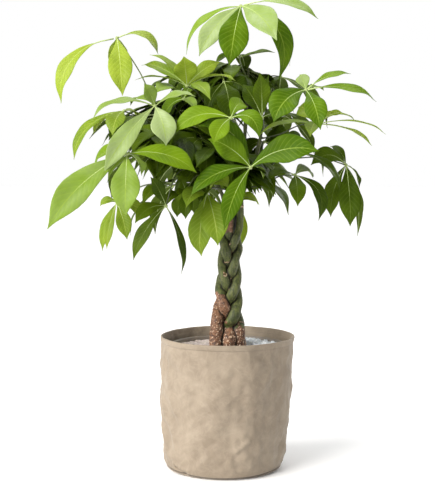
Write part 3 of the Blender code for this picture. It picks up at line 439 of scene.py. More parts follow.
blade = {
    "rows": 49,
    "columns": 9,
    "thickness": 0.00042,
    "leastHalf": 0.0005,  # half the width where it is narrowest
    "fold": 0.17,
    "belly": 0.13,
    "wave": 0.085,
    "waves": 2.3,
    "quilt": 0.00022,
    "quiltHalf": 0.006,  # narrower than this to each side, the quilting fades
    "hook": 0.05,
    "twist": 0.35,
    "twistFrom": 0.45,
    "hookFrom": 0.7,
    "sweep": 0.035,
    "stem": 0.04,
    "ribRadius": 0.00105,
    "ribMost": 0.0012,  # the rib is never thicker than this
    "outline": (
        (0.0, 0.035, 0.10, 0.18, 0.27, 0.38, 0.48, 0.58, 0.68, 0.77, 0.84, 0.90, 0.945, 0.975, 1.0),
        (0.03, 0.06, 0.17, 0.33, 0.53, 0.77, 0.94, 1.00, 0.94, 0.76, 0.53, 0.29, 0.14, 0.065, 0.0),
    ),
}


def bladeFrame(leaflet, shares, draw):  # the blade's middle line, its way along, up and aside at each share
    t = shares[:, None]
    middle = bezierRows(shares) @ leaflet["control"]
    length = np.linalg.norm(np.diff(middle, axis=0), axis=1).sum()
    along = unit(np.gradient(middle, axis=0))
    facing = np.stack([np.interp(shares, bladeShares, way) for way in leaflet["facing"].T], axis=1)
    facing = unit(facing - along * (facing * along).sum(axis=1, keepdims=True))
    side = np.cross(along, facing)
    twist = blade["twist"] * draw.uniform(-1, 1) * smooth(t, blade["twistFrom"], 1.0)
    turnedFacing = facing * np.cos(twist) + side * np.sin(twist)
    side = side * np.cos(twist) - facing * np.sin(twist)
    middle = middle + side * length * blade["sweep"] * draw.uniform(-1, 1) * (t**2 - t)
    return middle, turnedFacing, side, length


def fineBlade(leaflet, draw, tone, rows=blade["rows"], columns=blade["columns"]):
    # A thin closed skin: across and along it runs out over the top and back underneath. Its middle line
    # is the leaflet's curve, it is folded up along the midrib, each half swells, the edges wave, ridges
    # swell between the side veins, and the tip hooks down. The lower faces start one corner on, so that
    # both sides are cut into triangles along the same diagonals and never cross.
    t = np.linspace(0, 1, rows)
    stem = max(leaflet["stalk"], blade["stem"])
    shares = stem * 0.8 + (1 - stem * 0.8) * t
    middle, facing, side, length = bladeFrame(leaflet, shares, draw)
    opened = np.clip((shares - leaflet["stalk"]) / (1 - leaflet["stalk"]), 0, 1)
    half = leaflet["half"] * np.interp(opened, *blade["outline"])
    half = np.maximum(half, blade["leastHalf"])[:, None]
    u = np.sin(np.linspace(-np.pi / 2, np.pi / 2, columns))[None]
    out = abs(u)
    phase = draw.uniform(0, 2 * np.pi, 2)
    turn = 2 * np.pi * blade["waves"] * t[:, None] + np.where(u < 0, phase[0], phase[1])
    wave = blade["wave"] * draw.uniform(0.4, 1.4) * np.sin(turn) * u**2
    fold = blade["fold"] * draw.uniform(0.75, 1.25)
    lift = half * (fold * out + blade["belly"] * out * (1 - out) * 2 + wave)
    veinTurn = 2 * np.pi * (leafLooks["veins"] * t[:, None] - leafLooks["veinLean"] * out)
    fading = (1 - out**4) * np.minimum(1, half / blade["quiltHalf"])
    lift -= blade["quilt"] * np.cos(veinTurn) * np.sqrt(out) * fading
    hooked = smooth(t, blade["hookFrom"], 1.0)[:, None] ** 2
    lift -= blade["hook"] * length * hooked * draw.uniform(0.2, 1.2)
    thin = blade["thickness"] / 2 * (0.25 + 0.75 * np.sqrt(1 - out**2 * 0.999))
    sheet = middle[:, None] + side[:, None] * (u * half)[..., None]
    top = sheet + facing[:, None] * (lift + thin)[..., None]
    bottom = sheet + facing[:, None] * (lift - thin)[..., None]
    points = np.concatenate([top, bottom[:, ::-1]], axis=1)
    part = gridPart(points, tone=tone)
    across = np.concatenate([(u[0] + 1) / 2, (u[0, ::-1] + 1) / 2])
    part["uv"][..., 0] = across[(part["column"][:, None] + (0, 1, 1, 0)) % (2 * columns)]
    under = part["column"] >= columns
    part["skin"] = np.where(under, 1, 0)
    for corners in (part["faces"], part["uv"]):
        corners[under] = np.roll(corners[under], 1, axis=1)
    return [part, midribTube(leaflet, middle, facing, lift[:, columns // 2], t)]


def midribTube(leaflet, middle, facing, lift, t):  # the bare stalk and the rib that runs on under the blade
    rib = middle[::3] + facing[::3] * (lift[::3] - blade["thickness"] * 0.6)[:, None]
    radii = blade["ribRadius"] * (1 - 0.78 * t[::3] ** 0.7) * (0.8 + 12 * leaflet["half"])
    start = leaflet["control"][0] + (rib[0] - leaflet["control"][0]) * 0.2
    path = np.vstack([start[None], rib[:-1]])
    radii = np.concatenate([radii[:1] * 1.25, np.minimum(radii[:-1], blade["ribMost"])])
    return tube(path, radii, 6, skin=2, tone=1.0)


stalks = {
    "rows": 40,
    "columns": 8,
    "radius": 0.00125,
    "foot": 0.0011,
    "footReach": 0.006,
    "neck": 0.0006,
    "neckReach": 0.005,
    "inset": 0.0022,
    "knob": (0.0030, 0.0032),  # half its height and half its width
    "tones": (-0.4, 0.3),
}


def finePetiole(path, hub, tone):
    # A round stalk along a smooth curve, thicker at the bark and where its leaflets start.
    root = path[0] - unit(path[1] - path[0]) * stalks["inset"]
    line = flowing(np.vstack([root[None], path[1:]]), stalks["rows"])
    run = np.concatenate([[0], np.cumsum(np.linalg.norm(np.diff(line, axis=0), axis=1))])
    radii = stalks["radius"] * (1 - 0.15 * run / run[-1])
    radii = radii + stalks["foot"] * hill(run, stalks["footReach"])
    radii = radii + stalks["neck"] * hill(run[-1] - run, stalks["neckReach"])
    stalk = tube(line, radii, stalks["columns"], skin=2, tone=tone)
    turn = np.linspace(0, np.pi, 9)
    high, wide = stalks["knob"]
    knob = hub - unit(path[-1] - path[-2]) * np.cos(turn)[:, None] * high
    return [stalk, tube(knob, wide * np.sin(turn) + 1e-5, 10, skin=2, tone=0.6)]


shine = {  # tones given one by one, from the leftmost tip to the rightmost: they paint light and shade on the leaflets, low in shade and high where lit, and past 1 a painted silvery sheen
    "frond_01": (0.9, 0.75, 0.85, 0.7),
    "frond_02": (1.35, 1.5, 1.2, 1.3, 1.65, 1.4),
    "frond_03": (0.2, 0.4, 0.3, 1.3),
    "frond_04": (1.25, 0.75, 1.25, 0.75, 0.75),
    "frond_09": (0.05, 0.01, 0.01, 0.1),
    "frond_11": (-0.2, -0.3, 0.4, 0.05, 0.1, 0.1),
    "frond_12": (0.4, 0.7, 1.3),
    "frond_13": (0.4, 0.3, 0.5, 0.3, 0.5, 0.3),
    "frond_15": (0.05, 1.5, 0.1, 1.3),
    "frond_16": (0.1, 0.3, 0.2, 0.3),
    "frond_19": (1.2, 1.6, 0.3, 1.45, 0.2, 1.4, 1.4),
    "frond_22": (1.2, 0.5, 1.3),
}
slotOf = {part["node"]: part["material_slot"] for part in frame["record"]["subparts"]}
stalk = stalkSkin()
skinsOf = {age: [leafSkin(age, False), leafSkin(age, True), stalk] for age in ("young", "mid", "dark")}
frondNames = sorted(name for name in nodes if name.startswith("frond_"))
for nodeName in frondNames:
    age = slotOf[nodeName].removeprefix("leaf_")
    draw = np.random.default_rng(100 + int(nodeName[-2:]))
    points, near = merged(nodes[nodeName])
    leaflets = readLeaflets(points, near)
    hub = np.mean([leaflet["control"][0] for leaflet in leaflets], axis=0)
    parts = finePetiole(readPetiole(points, leaflets, hub), hub, draw.uniform(*stalks["tones"]))
    tones = dict(enumerate(shine.get(nodeName, ())))
    for number, leaflet in enumerate(leaflets):
        drawn = draw.uniform(0.1, 0.9)
        parts += fineBlade(leaflet, draw, tones.get(number, drawn))
    piece = makePiece("fine_" + nodeName, parts, skinsOf[age])
    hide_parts(nodeName)
print("fine fronds made:", len(frondNames))


# The braided stems and their bark

trunk = {
    "columns": 48,
    "step": 0.0014,
    "braid": (0.22, 0.26, 0.43, 0.50),  # the heights between which it starts and ends
    "crownFoot": 0.47,  # inner leaves grow from the shoots above this height
    "drawnIn": (0.88, 1.12),  # across and in depth, as the next
    "swollen": (1.32, 1.12),
    "rootFlare": (0.10, 0.10, -0.12, 0.22, 0.02),  # of each stem, as every row of five here
    # how far the painted shade in the creases reaches
    "creaseWidth": 0.0034,
    "flareTop": (0.205, 0.250),
    "thickTop": (0.44, 0.52),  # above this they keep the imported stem's own thickness
    "feet": {  # where these roots stand, and between which heights they leave that place
        2: ((0.0018, -0.0185), 0.232, 0.256),
        3: ((-0.0202, -0.0140), 0.255, 0.292),
        4: ((0.0208, -0.0070), 0.230, 0.262),
    },
    "wart": 0.00040,
    "scar": 0.0007,
    "scarWidth": 0.0019,
    "bud": (0.012, 0.0022),  # its length and radius
    "brownTop": (0.315, 0.293, 0.257, 0.334, 0.258),  # where its brown bark goes over to green
    "brownAgain": (0.380, 0.435, 0.43, 0.45, 0.41),
    "green": ((0.026, 0.036, 0.006), (0.085, 0.098, 0.020)),
    "brown": ((0.055, 0.021, 0.010), (0.23, 0.110, 0.055)),
    "pitColour": (0.020, 0.010, 0.006),
    "fleckColour": (0.78, 0.60, 0.42),
    "scarColour": (0.46, 0.37, 0.23),
    "creaseColour": (0.008, 0.006, 0.003),
    # near black: painted shade where the stems press together
    "scars": ((0.402, 0.468), (0.324, 0.452), (0.369, 0.436), (0.338, 0.480), (0.262, 0.350)),
}


def readStem(name):  # the level rings of a packed stem: height, middle, half width and half depth
    points, _ = merged(nodes[name])
    heights = np.unique(np.round(points[:, 2], 4))
    rows = []
    for height in heights:
        ring = points[abs(points[:, 2] - height) < 1e-4]
        middle = ring.mean(axis=0)
        wide = (ring[:, 0] - middle[0]).max()
        deep = (ring[:, 1] - middle[1]).max() / math.sin(4 * np.pi / 7)  # the deepest of seven corners
        rows.append((middle[2], middle[0], middle[1], wide, deep))
    return np.array(rows)


def trunkLines():  # each stem's smooth rows, and the middle of all five at each height of the braid
    lines = []
    for number in range(5):
        rows = readStem(f"stem_{number + 1}")
        lines.append(flowing(rows, int((rows[-1, 0] - rows[0, 0]) / trunk["step"])))
    heights = np.linspace(0.15, 0.45, 61)
    middles = [[np.interp(heights, line[:, 0], line[:, axis]) for line in lines] for axis in (1, 2)]
    return lines, heights, np.mean(middles, axis=1)


def stemForm(number, line, coreHeights, core):
    # The stem's smooth rows as (height, x, y, half width, half depth). Where the strands are braided they
    # are drawn in across, pushed apart in depth and swollen until they press together. They flare at the
    # soil, where some stand in a place of their own.
    height, middle = line[:, 0], line[:, 1:3]
    axis = np.stack([np.interp(height, coreHeights, core[side]) for side in (0, 1)], axis=1)
    braid = trunk["braid"]
    braided = ((1 - smooth(height, *braid[2:])) * smooth(height, *braid[:2]))[:, None]
    middle = axis + (middle - axis) * (1 + (np.array(trunk["drawnIn"]) - 1) * braided)
    if number in trunk["feet"]:
        foot, low, high = trunk["feet"][number]
        middle = foot + (middle - foot) * smooth(height, low, high)[:, None]
    flare = trunk["rootFlare"][number] * (1 - smooth(height, *trunk["flareTop"]))
    thick = (1 - smooth(height, *trunk["thickTop"]))[:, None]
    radii = line[:, 3:5] * (1 + (np.array(trunk["swollen"]) - 1) * thick + flare[:, None])
    return np.hstack([height[:, None], middle, radii])


def creaseOf(number, points, forms):  # painted shade in the creases: 1 where this stem's skin meets another's, fading away from that line
    crease = 0 * points[..., 0]
    height = forms[number][:, 0]
    for other, form in enumerate(forms):
        x, y, wide, deep = (np.interp(height, form[:, 0], values)[:, None] for values in form.T[1:])
        away = np.hypot((points[..., 0] - x) / wide, (points[..., 1] - y) / deep) - 1
        away = np.maximum(away * np.minimum(wide, deep), 0)
        near = hill(away, trunk["creaseWidth"]) * (height[:, None] < form[-1, 0])
        crease = np.maximum(crease, near if other != number else 0)
    return crease


def fineStem(number, forms):
    # Level rings up the stem, with warts low down, torn ring scars higher up and a bud at the top. The
    # tone says how brown the bark is, and past 1 that it is a scar.
    height, x, y, wide, deep = (values[:, None] for values in forms[number].T)
    turn = around(trunk["columns"])
    points = xyz(x + wide * np.cos(turn), y + deep * np.sin(turn), height)
    out = xyz(np.cos(turn), np.sin(turn), 0.0)
    crease = creaseOf(number, points, forms)
    top = trunk["brownTop"][number]
    low = 1 - smooth(height + 0.004 * ripple(points, 0.012, 61 + number), top - 0.010, top + 0.006)
    again = 0.75 * hill(height - trunk["brownAgain"][number], 0.014)
    knobbly = ripple(points, 0.004, 11 + number) * 0.6 + ripple(points, 0.0022, 31 + number) * 0.4
    swell = ripple(points, 0.03, 51 + number) * 0.0006
    torn = points[..., 2] + 0.0016 * ripple(points, 0.012, 71 + number)
    scar = sum(hill(torn - place, trunk["scarWidth"]) for place in trunk["scars"][number])
    scar = scar * smooth(ripple(points, 0.016, 91 + number), -0.4, 0.6)
    bump = trunk["wart"] * low * knobbly + swell + trunk["scar"] * scar + 0.0001 * knobbly
    points = points + out * (bump * np.minimum(1, wide / 0.005))[..., None]
    tone = np.maximum(low, again) + 2 * smooth(scar, 0.3, 0.8)
    tip = points[-1].mean(axis=0)
    lean = unit(tip - points[-12].mean(axis=0))
    share = np.linspace(0, 1, 8)
    length, radius = trunk["bud"]
    line = tip - lean * 0.001 + lean * length * share[:, None]
    bud = tube(line, radius * (1 - share**1.6) + 1e-4, 10, tone=0.0)
    return [gridPart(points, tone=tone.ravel(), crease=crease.ravel()), bud]


def barkSkin():
    paint = Paint("bark")
    tone = paint.mark("tone")
    broad = paint.noise(70.0, 3.0)
    fine = paint.noise(190.0, 4.0, 0.6)
    grit = paint.noise(560.0, 3.0, 0.6)
    lengthwise = paint.noise(240.0, stretch=(1.0, 1.0, 0.15))
    scarred = paint.between(tone, 1.5, 1.9)
    brownness = paint.between(tone - scarred * 2 + (broad - 0.5) * 0.9, 0.35, 0.62)
    green = paint.mix(paint.between(lengthwise, 0.3, 0.7), *trunk["green"])
    brown = paint.mix(paint.between(fine, 0.32, 0.68), *trunk["brown"])
    colour = paint.mix(brownness, green, brown)
    _, _, z = paint.parts(paint.spots)
    lowness = 1 - paint.between(z, 0.225, 0.285)
    pit = 1 - paint.between(paint.noise(260.0, 3.0, 0.6), 0.36, 0.46)
    colour = paint.mix(pit * brownness * (lowness * 0.55 + 0.25), colour, trunk["pitColour"])
    fleck = paint.between(paint.noise(330.0, 2.0), 0.58, 0.66)
    flecked = fleck * brownness * (lowness * 0.55 + 0.35) + fleck * 0.06
    colour = paint.mix(flecked, colour, trunk["fleckColour"])
    colour = paint.mix(scarred * 0.85, colour, trunk["scarColour"])
    # painted shade: the bark goes near black where the stems meet
    crease = paint.mark("crease")
    colour = paint.mix(paint.between(crease, 0.15, 1.0) * 0.92, colour, trunk["creaseColour"])
    height = fine * 0.5 + grit * 0.3 + fleck * 0.5
    return paint.finish(colour, 0.50 + fine * 0.25, (height, 0.0010, 0.75))


bark = barkSkin()
stemLines, coreHeights, core = trunkLines()
stemForms = [stemForm(number, line, coreHeights, core) for number, line in enumerate(stemLines)]
for number in range(len(stemForms)):
    stemName = f"stem_{number + 1}"
    piece = makePiece("fine_" + stemName, fineStem(number, stemForms), [bark])
    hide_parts(stemName)
print("fine stems made: 5")


# Leaves inside the crown, which have no solid

inside = {
    "fronds": 34,
    "leaflets": (5, 7),
    "middle": (-0.028, 0.010, 0.625),
    "reach": (0.125, 0.090, 0.095),
    "length": (0.075, 0.125),
    "halfWidth": (0.014, 0.021),
    "petiole": 0.0011,
    "fan": 145,  # degrees to each side
    "droop": (0.25, 0.85),
    "arch": (0.12, 0.3),
    "seed": 7,
    "rows": 25,
    "columns": 7,
}


def insideLeaflet(hub, outward, spread, draw):  # a drooping arch from the hub towards one side of the fan
    over = np.cross((0, 0, 1), outward)
    reach = outward * math.cos(spread) + over * math.sin(spread)
    length = draw.uniform(*inside["length"])
    tip = hub + unit(reach - (0, 0, draw.uniform(*inside["droop"]))) * length
    arch = (hub + tip) / 2 + (0, 0, length * draw.uniform(*inside["arch"]))
    along = unit(tip - hub)
    up = unit(reach * draw.uniform(0.1, 0.9) + (0, 0, 1))
    facing = np.tile(unit(up - along * (up @ along)), (3, 1))
    control = np.array([hub, arch, tip])
    return {"control": control, "facing": facing, "half": draw.uniform(*inside["halfWidth"]), "stalk": 0.0}


def insideFrond(number, draw):
    # A hub in a squashed ball, turned on by the golden angle, on a stalk that arches up from a shoot.
    turn = number * math.radians(137.5)
    rise = 2 * ((number * 0.618) % 1.0) - 1
    level = math.sqrt(1 - rise * rise) * math.sqrt(draw.uniform(0.15, 1.0))
    way = np.array((math.cos(turn) * level, math.sin(turn) * level, rise))
    hub = way * inside["reach"] + inside["middle"]
    outward = unit(hub * (1, 1, 0) + draw.normal(size=3) * (0.02, 0.02, 0))
    nearest = min(stemLines, key=lambda line: np.linalg.norm(line[:, [1, 2, 0]] - hub, axis=1).min())
    roots = nearest[nearest[:, 0] > trunk["crownFoot"]][:, [1, 2, 0]]
    root = roots[np.argmin(np.linalg.norm(roots - (hub - (0, 0, 0.03)), axis=1))]
    middle = (root + hub) / 2 + (0, 0, 0.25 * np.linalg.norm(hub - root))
    line = bezierRows(np.linspace(0, 1, 14)) @ np.array([root, middle, hub])
    parts = [tube(line, np.full(14, inside["petiole"]), 6, skin=2, tone=0.35)]
    count = draw.integers(*inside["leaflets"], endpoint=True)
    for spread in np.radians(np.linspace(-inside["fan"], inside["fan"], count)):
        leaflet = insideLeaflet(hub, outward, spread + draw.normal() * 0.12, draw)
        parts += fineBlade(leaflet, draw, draw.uniform(0.0, 0.8), inside["rows"], inside["columns"])
    return parts


draw = np.random.default_rng(inside["seed"])
parts = sum((insideFrond(number, draw) for number in range(inside["fronds"])), [])
# the inner leaves take the dark look, whose darker colours partly paint the shade inside the crown
makePiece("inner_leaves", parts, skinsOf["dark"])
print("inner leaves made")


# The soft bag

bag = {
    "columns": 320,
    "height": 0.238,
    "hemFoot": 0.2279,  # the height of the line under the hem
    "girth": 0.112,  # the radius at which creases are laid out
    "even": 0.115,  # the radius at which dents and folds are laid out
    "lean": -0.007,
    "wall": 0.0022,
    "levels": (0.0, 0.004, 0.016, 0.033, 0.066, 0.1, 0.142, 0.175, 0.2265, 0.238),
    "radii": (0.094, 0.1025, 0.1065, 0.1096, 0.1119, 0.1137, 0.1162, 0.1180, 0.1176, 0.1188),
    "dent": 0.0013,
    "fold": 0.0011,
    "cloth": ((0.196, 0.152, 0.106), (0.278, 0.225, 0.164)),  # its colours, dark and pale
    "worn": (0.36, 0.30, 0.23),
    "seamColour": (0.045, 0.034, 0.024),
    "seam": (0.0036, 0.0040),  # its height in front, and how much more at the sides
    "base": ((0.0004, 0.0), (0.05, 0.0), (0.085, 0.0)),  # points in what follows are (radius, height)
    "hem": (
        (0.1175, 0.2272), (0.1178, 0.2280), (0.1184, 0.2287),
        (0.1189, 0.2300), (0.1192, 0.2325), (0.1194, 0.2350),
    ),
    "innerHem": ((0.1158, 0.2330), (0.1156, 0.2300), (0.1158, 0.2285), (0.1154, 0.2278)),
    "floor": ((0.1025, 0.010), (0.096, 0.0045), (0.088, 0.0022), (0.05, 0.0022), (0.0004, 0.0022)),
    "rim": (0.1177, 0.2362, 0.0018),  # the rolled rim's middle and its own radius
    "creases": (  # from (degrees, height) to (degrees, height), width, how far it stands out
        ((-79, 0.054), (-69, 0.070), 0.0045, 0.0026),
        ((-80, 0.042), (-70, 0.056), 0.0070, -0.0022),
        ((-127, 0.016), (-106, 0.052), 0.0080, -0.0024),
        ((-112, 0.080), (-102, 0.150), 0.0180, 0.0012),
        ((-60, 0.150), (-50, 0.192), 0.0055, 0.0014),
        ((-52, 0.140), (-44, 0.182), 0.0060, -0.0012),
        ((-72, 0.096), (-52, 0.108), 0.0090, -0.0011),
        ((-58, 0.050), (-46, 0.080), 0.0070, 0.0010),
        ((-120, 0.150), (-98, 0.172), 0.0080, -0.0009),
        ((-90, 0.186), (-76, 0.202), 0.0060, 0.0007),
        ((-144, 0.013), (-131, 0.006), 0.0030, -0.0055),
        ((-146, 0.019), (-126, 0.012), 0.0036, 0.0022),
        ((-68, 0.030), (-67, 0.195), 0.0200, 0.0016),
        ((-44, 0.030), (-43, 0.195), 0.0240, -0.0024),
        ((-30, 0.026), (-22, 0.060), 0.0060, -0.0016),
    ),
}


def bagOutline():
    # From the base up the outside, over the rolled rim and down inside to the floor.
    heights = np.concatenate([np.linspace(0.0, 0.016, 14), np.linspace(0.0185, 0.2265, 92)])
    innerHeights = np.linspace(0.2260, 0.020, 60)
    outer, inner = (np.interp(levels, bag["levels"], bag["radii"]) for levels in (heights, innerHeights))
    wall = np.stack([outer, heights], axis=1)
    lining = np.stack([inner - bag["wall"], innerHeights], axis=1)
    turn = np.linspace(0, np.pi, 9)
    radius, height, rolled = bag["rim"]
    rim = np.stack([radius + rolled * np.cos(turn), height + rolled * np.sin(turn)], axis=1)
    return np.vstack([bag["base"], wall, bag["hem"], rim, bag["innerHem"], lining, bag["floor"]])


def creasePush(angle, height):  # ridges and dents along short lines on the wall, fading with distance
    push = 0 * height
    for (fromAngle, fromHeight), (toAngle, toHeight), width, depth in bag["creases"]:
        arc = bag["girth"] * np.radians((angle - fromAngle + 180) % 360 - 180)
        way = np.array((bag["girth"] * math.radians(toAngle - fromAngle), toHeight - fromHeight))
        share = np.clip((arc * way[0] + (height - fromHeight) * way[1]) / (way @ way), 0, 1)
        away = np.hypot(arc - share * way[0], height - fromHeight - share * way[1])
        push = push + depth * hill(away, width)
    return push


def bagPush(points, angle, radius, height):
    # How far the wall stands out: broad dents, folds where noise crosses zero, the creases, a sunk seam
    # near the foot that rises to the sides, and less of it all at the base and at the hem.
    broad = ripple(points, 0.075, 5) * 0.8 + ripple(points, 0.038, 6) * 0.6
    folded = 0.45 - abs(ripple(points, 0.046, 7))
    small = ripple(points, 0.017, 8) * 0.00035 + ripple(points, 0.008, 9) * 0.00010
    wall = smooth(radius, 0.08, 0.10)
    held = smooth(height, 0.002, 0.03) * (1 - 0.55 * smooth(height, 0.208, 0.232)) * wall
    foot = smooth(height, 0.0, 0.004) * wall
    seamAt = bag["seam"][0] + bag["seam"][1] * np.cos(np.radians(angle)) ** 2
    seam = -0.0018 * hill(height - seamAt, 0.0012) * foot
    push = (bag["dent"] * broad + bag["fold"] * folded + small) * held
    return push + creasePush(angle, height) * foot + seam


def bagSkin():
    paint = Paint("bagCloth")
    x, y, z = paint.parts(paint.spots)
    blotch = paint.noise(17.0, 4.0, 0.6, 0.5)
    patch = paint.noise(52.0, 4.0, 0.6, stretch=(1.0, 1.0, 0.6))
    fibre = paint.noise(420.0, 3.0, 0.6, stretch=(1.0, 1.0, 2.2))
    speck = paint.noise(900.0, 2.0)
    wrinkle = 1 - abs(paint.noise(42.0, 3.0, 0.55, 0.9) * 2 - 1)
    fine = 1 - abs(paint.noise(120.0, 4.0, 0.6, 1.2) * 2 - 1)
    # pale and dark patches: mottled cloth, partly painted light and shade of shallow dents
    share = blotch * 0.55 + patch * 0.50 + (fibre - 0.5) * 0.20
    colour = paint.mix(paint.between(share, 0.30, 0.80), *bag["cloth"])
    worn = paint.between(wrinkle, 0.88, 1.0)
    colour = paint.mix(worn * 0.14, colour, bag["worn"])
    seamAt = x * x / (x * x + y * y) * bag["seam"][1] + bag["seam"][0]
    seamLine = 1 - paint.between(abs(z - seamAt), 0.0005, 0.0016)
    hemLine = 1 - paint.between(abs(z - bag["hemFoot"]), 0.0003, 0.0010)
    colour = paint.mix(seamLine.higher(hemLine * 0.2) * 0.85, colour, bag["seamColour"])
    height = wrinkle * 0.5 + fine * 0.22 + fibre * 0.07 + speck * 0.03
    gloss = 0.74 + (fibre - 0.5) * 0.2
    return paint.finish(colour, gloss, (height, 0.0016, 0.5), Sheen_Weight=0.1)


def makeBag():  # the outline turned, each point pushed out or in, and leaning more towards the foot
    outline = bagOutline()
    turn = around(bag["columns"]) + 0 * outline[:, :1]
    radius, height = (values[:, None] + 0 * turn for values in outline.T)
    even = lathe(outline * (0, 1) + (bag["even"], 0), bag["columns"])
    radius = radius + bagPush(even, np.degrees(turn), radius, height)
    lean = bag["lean"] * (1 - height / bag["height"])
    rings = xyz(np.cos(turn) * radius + lean, np.sin(turn) * radius, height)
    closedLathe("soft_bag", rings, bagSkin(), "grow_bag")


makeBag()
print("bag made")


# The pot, the soil, its crumbs and the film on it

pot = {
    "columns": 120,
    "plastic": ((0.13, 0.11, 0.09), (0.24, 0.20, 0.16)),
    "dust": (0.30, 0.24, 0.17),
    "outside": (  # (radius, height), from the middle of its floor to the rim
        (0.0004, 0.0025), (0.0760, 0.0025), (0.0800, 0.0031), (0.0812, 0.0055), (0.0905, 0.1000),
        (0.1010, 0.2085), (0.1017, 0.2100), (0.1058, 0.2102), (0.1063, 0.2112), (0.1064, 0.2195),
    ),
    "inside": (  # (radius, height), from the rim back to the middle
        (0.1060, 0.2212), (0.1048, 0.2220), (0.1022, 0.2220), (0.1014, 0.2212), (0.1011, 0.2195),
        (0.1000, 0.2080), (0.0885, 0.1000), (0.0794, 0.0065), (0.0760, 0.0044), (0.0004, 0.0043),
    ),
}


def potSkin():
    paint = Paint("potPlastic")
    cloud = paint.noise(30.0, 3.0)
    grit = paint.noise(600.0, 2.0)
    dust = paint.between(paint.noise(90.0, 4.0), 0.5, 0.75)
    colour = paint.mix(cloud, *pot["plastic"])
    colour = paint.mix(dust * 0.5, colour, pot["dust"])
    return paint.finish(colour, 0.5 + dust * 0.3, (grit, 0.0003, 0.4))


def makePot():  # the outline turned
    rings = lathe(pot["outside"] + pot["inside"], pot["columns"])
    closedLathe("fine_pot", rings, potSkin(), "nursery_pot")


makePot()

soil = {
    "columns": 180,
    "rings": 60,
    "top": 0.2125,
    "radius": 0.0985,
    "below": ((0.0984, 0.205), (0.0790, 0.006), (0.0004, 0.006)),  # (radius, height) down to its middle
    "crumbs": 900,
    "crumbSize": (0.0011, 0.0034),
    "mix": ((0.012, 0.008, 0.005), (0.085, 0.050, 0.028)),
    "crumbColours": (  # each at its share of the crumbs, in order
        (0.0, (0.014, 0.008, 0.005)), (0.55, (0.10, 0.055, 0.028)),
        (0.86, (0.20, 0.12, 0.06)), (0.93, (0.62, 0.58, 0.50)),
    ),
}


def soilSkin():
    paint = Paint("pottingMix")
    cloud = paint.noise(60.0, 5.0, 0.65)
    grit = paint.noise(380.0, 4.0, 0.65)
    share = paint.between(cloud * 0.6 + grit * 0.5, 0.35, 0.8)
    colour = paint.mix(share, *soil["mix"])
    return paint.finish(colour, 0.95, (grit + cloud, 0.0018, 0.9))


def crumbSkin():
    paint = Paint("barkCrumbs")
    tone = paint.mark("tone")
    grit = paint.noise(700.0, 3.0)
    colour = paint.add("ValToRGB", {"stops": soil["crumbColours"]}, tone)
    return paint.finish(colour, 0.9, (grit, 0.0005, 0.8))


def crumbParts(draw):
    # Crumbs of bark: small faceted balls, each squashed, turned by a quaternion of w and an axis (to
    # point + w * over + axis x over, where over is 2 * axis x point) and laid on the soil.
    ball = bmesh.new()
    bmesh.ops.create_icosphere(ball, subdivisions=1, radius=1.0)
    shape = np.array([vertex.co[:] for vertex in ball.verts])
    triangles = np.array([[vertex.index for vertex in face.verts] for face in ball.faces])
    ball.free()
    count = soil["crumbs"]
    reach = soil["radius"] * np.sqrt(draw.uniform(0.02, 0.985, count))
    turn = draw.uniform(0, 2 * np.pi, count)
    x, y = reach * np.cos(turn), reach * np.sin(turn)
    place = xyz(x, y, groundHeight(x, y) + 0.0002)
    size = draw.uniform(*soil["crumbSize"], count)[:, None] * draw.uniform(0.45, 1.0, (count, 3))
    spin = unit(draw.normal(size=(count, 4)))[:, None]
    balls = shape[None] * size[:, None]
    over = 2 * np.cross(spin[..., 1:], balls)
    points = balls + spin[..., :1] * over + np.cross(spin[..., 1:], over) + place[:, None]
    faces = triangles[None] + (np.arange(count) * len(shape))[:, None, None]
    tones = np.repeat(draw.uniform(0, 1, count), len(shape))
    return points.reshape(-1, 3), faces.reshape(-1, 3), tones


def groundHeight(x, y):  # the soil's top: lumps of two sizes, lower towards the pot's wall
    points, away = xyz(x, y, 0.0), np.hypot(x, y)
    lumps = ripple(points, 0.030, 81) * 0.0007 + ripple(points, 0.009, 82) * 0.0005
    return soil["top"] + lumps - 0.0012 * smooth(away, 0.080, soil["radius"])


def makeSoil():  # the outline turned, with its top at the height of the ground
    flat = [(radius, 0.0) for radius in np.linspace(0.0004, soil["radius"], soil["rings"])]
    rings = lathe(np.vstack([flat, soil["below"]]), soil["columns"])
    top = rings[: soil["rings"]]
    top[..., 2] = groundHeight(top[..., 0], top[..., 1])
    closedLathe("fine_soil", rings, soilSkin(), "soil")


def makeCrumbs():
    points, faces, tones = crumbParts(np.random.default_rng(83))
    mesh = bpy.data.meshes.new("soil_crumbs")
    mesh.from_pydata(points.tolist(), [], faces.tolist())
    setMark(mesh, "tone", tones)
    mesh.materials.append(crumbSkin())
    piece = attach(placed("soil_crumbs", mesh), "root")


makeSoil()
makeCrumbs()

film = {
    "columns": 260,
    "rows": 46,
    "inner": 0.043,
    "outer": 0.0975,
    "lift": 0.0036,
    "thickness": 0.00022,
    "left": ((0.60, 0.50, 0.46), (0.86, 0.76, 0.71)),  # its colours to the left and to the right: the left's darker mauve grey is partly painted shade, the right's bluish white partly painted highlights
    "right": ((0.66, 0.70, 0.74), (0.95, 0.97, 1.0)),
    "cut": 0.215,  # the ring is cut from a square this wide, with a hole 68 mm across
    "cutArea": 0.0326,  # an estimate, set to the area of the film as it is modelled here
}


def filmSkin():
    paint = Paint("clearFilm")
    x, _, _ = paint.parts(paint.spots)
    right = paint.between(x, -0.02, 0.03)
    cloud = paint.noise(38.0, 4.0, 0.6, 0.8)
    fine = paint.noise(150.0, 4.0, 0.6, 1.2)
    milk = paint.between(cloud * 0.5 + fine * 0.5, 0.35, 0.7)
    # painted light and shade: darker to the left, where shade falls, and whiter with bluish painted
    # highlights to the right
    colour = paint.mix(right, paint.mix(milk, *film["left"]), paint.mix(milk, *film["right"]))
    cover = 0.68 + milk * 0.22 + right * 0.10
    return paint.finish(colour, 0.16, (fine + cloud, 0.0012, 0.7), Alpha=cover, Specular_IOR_Level=0.6)


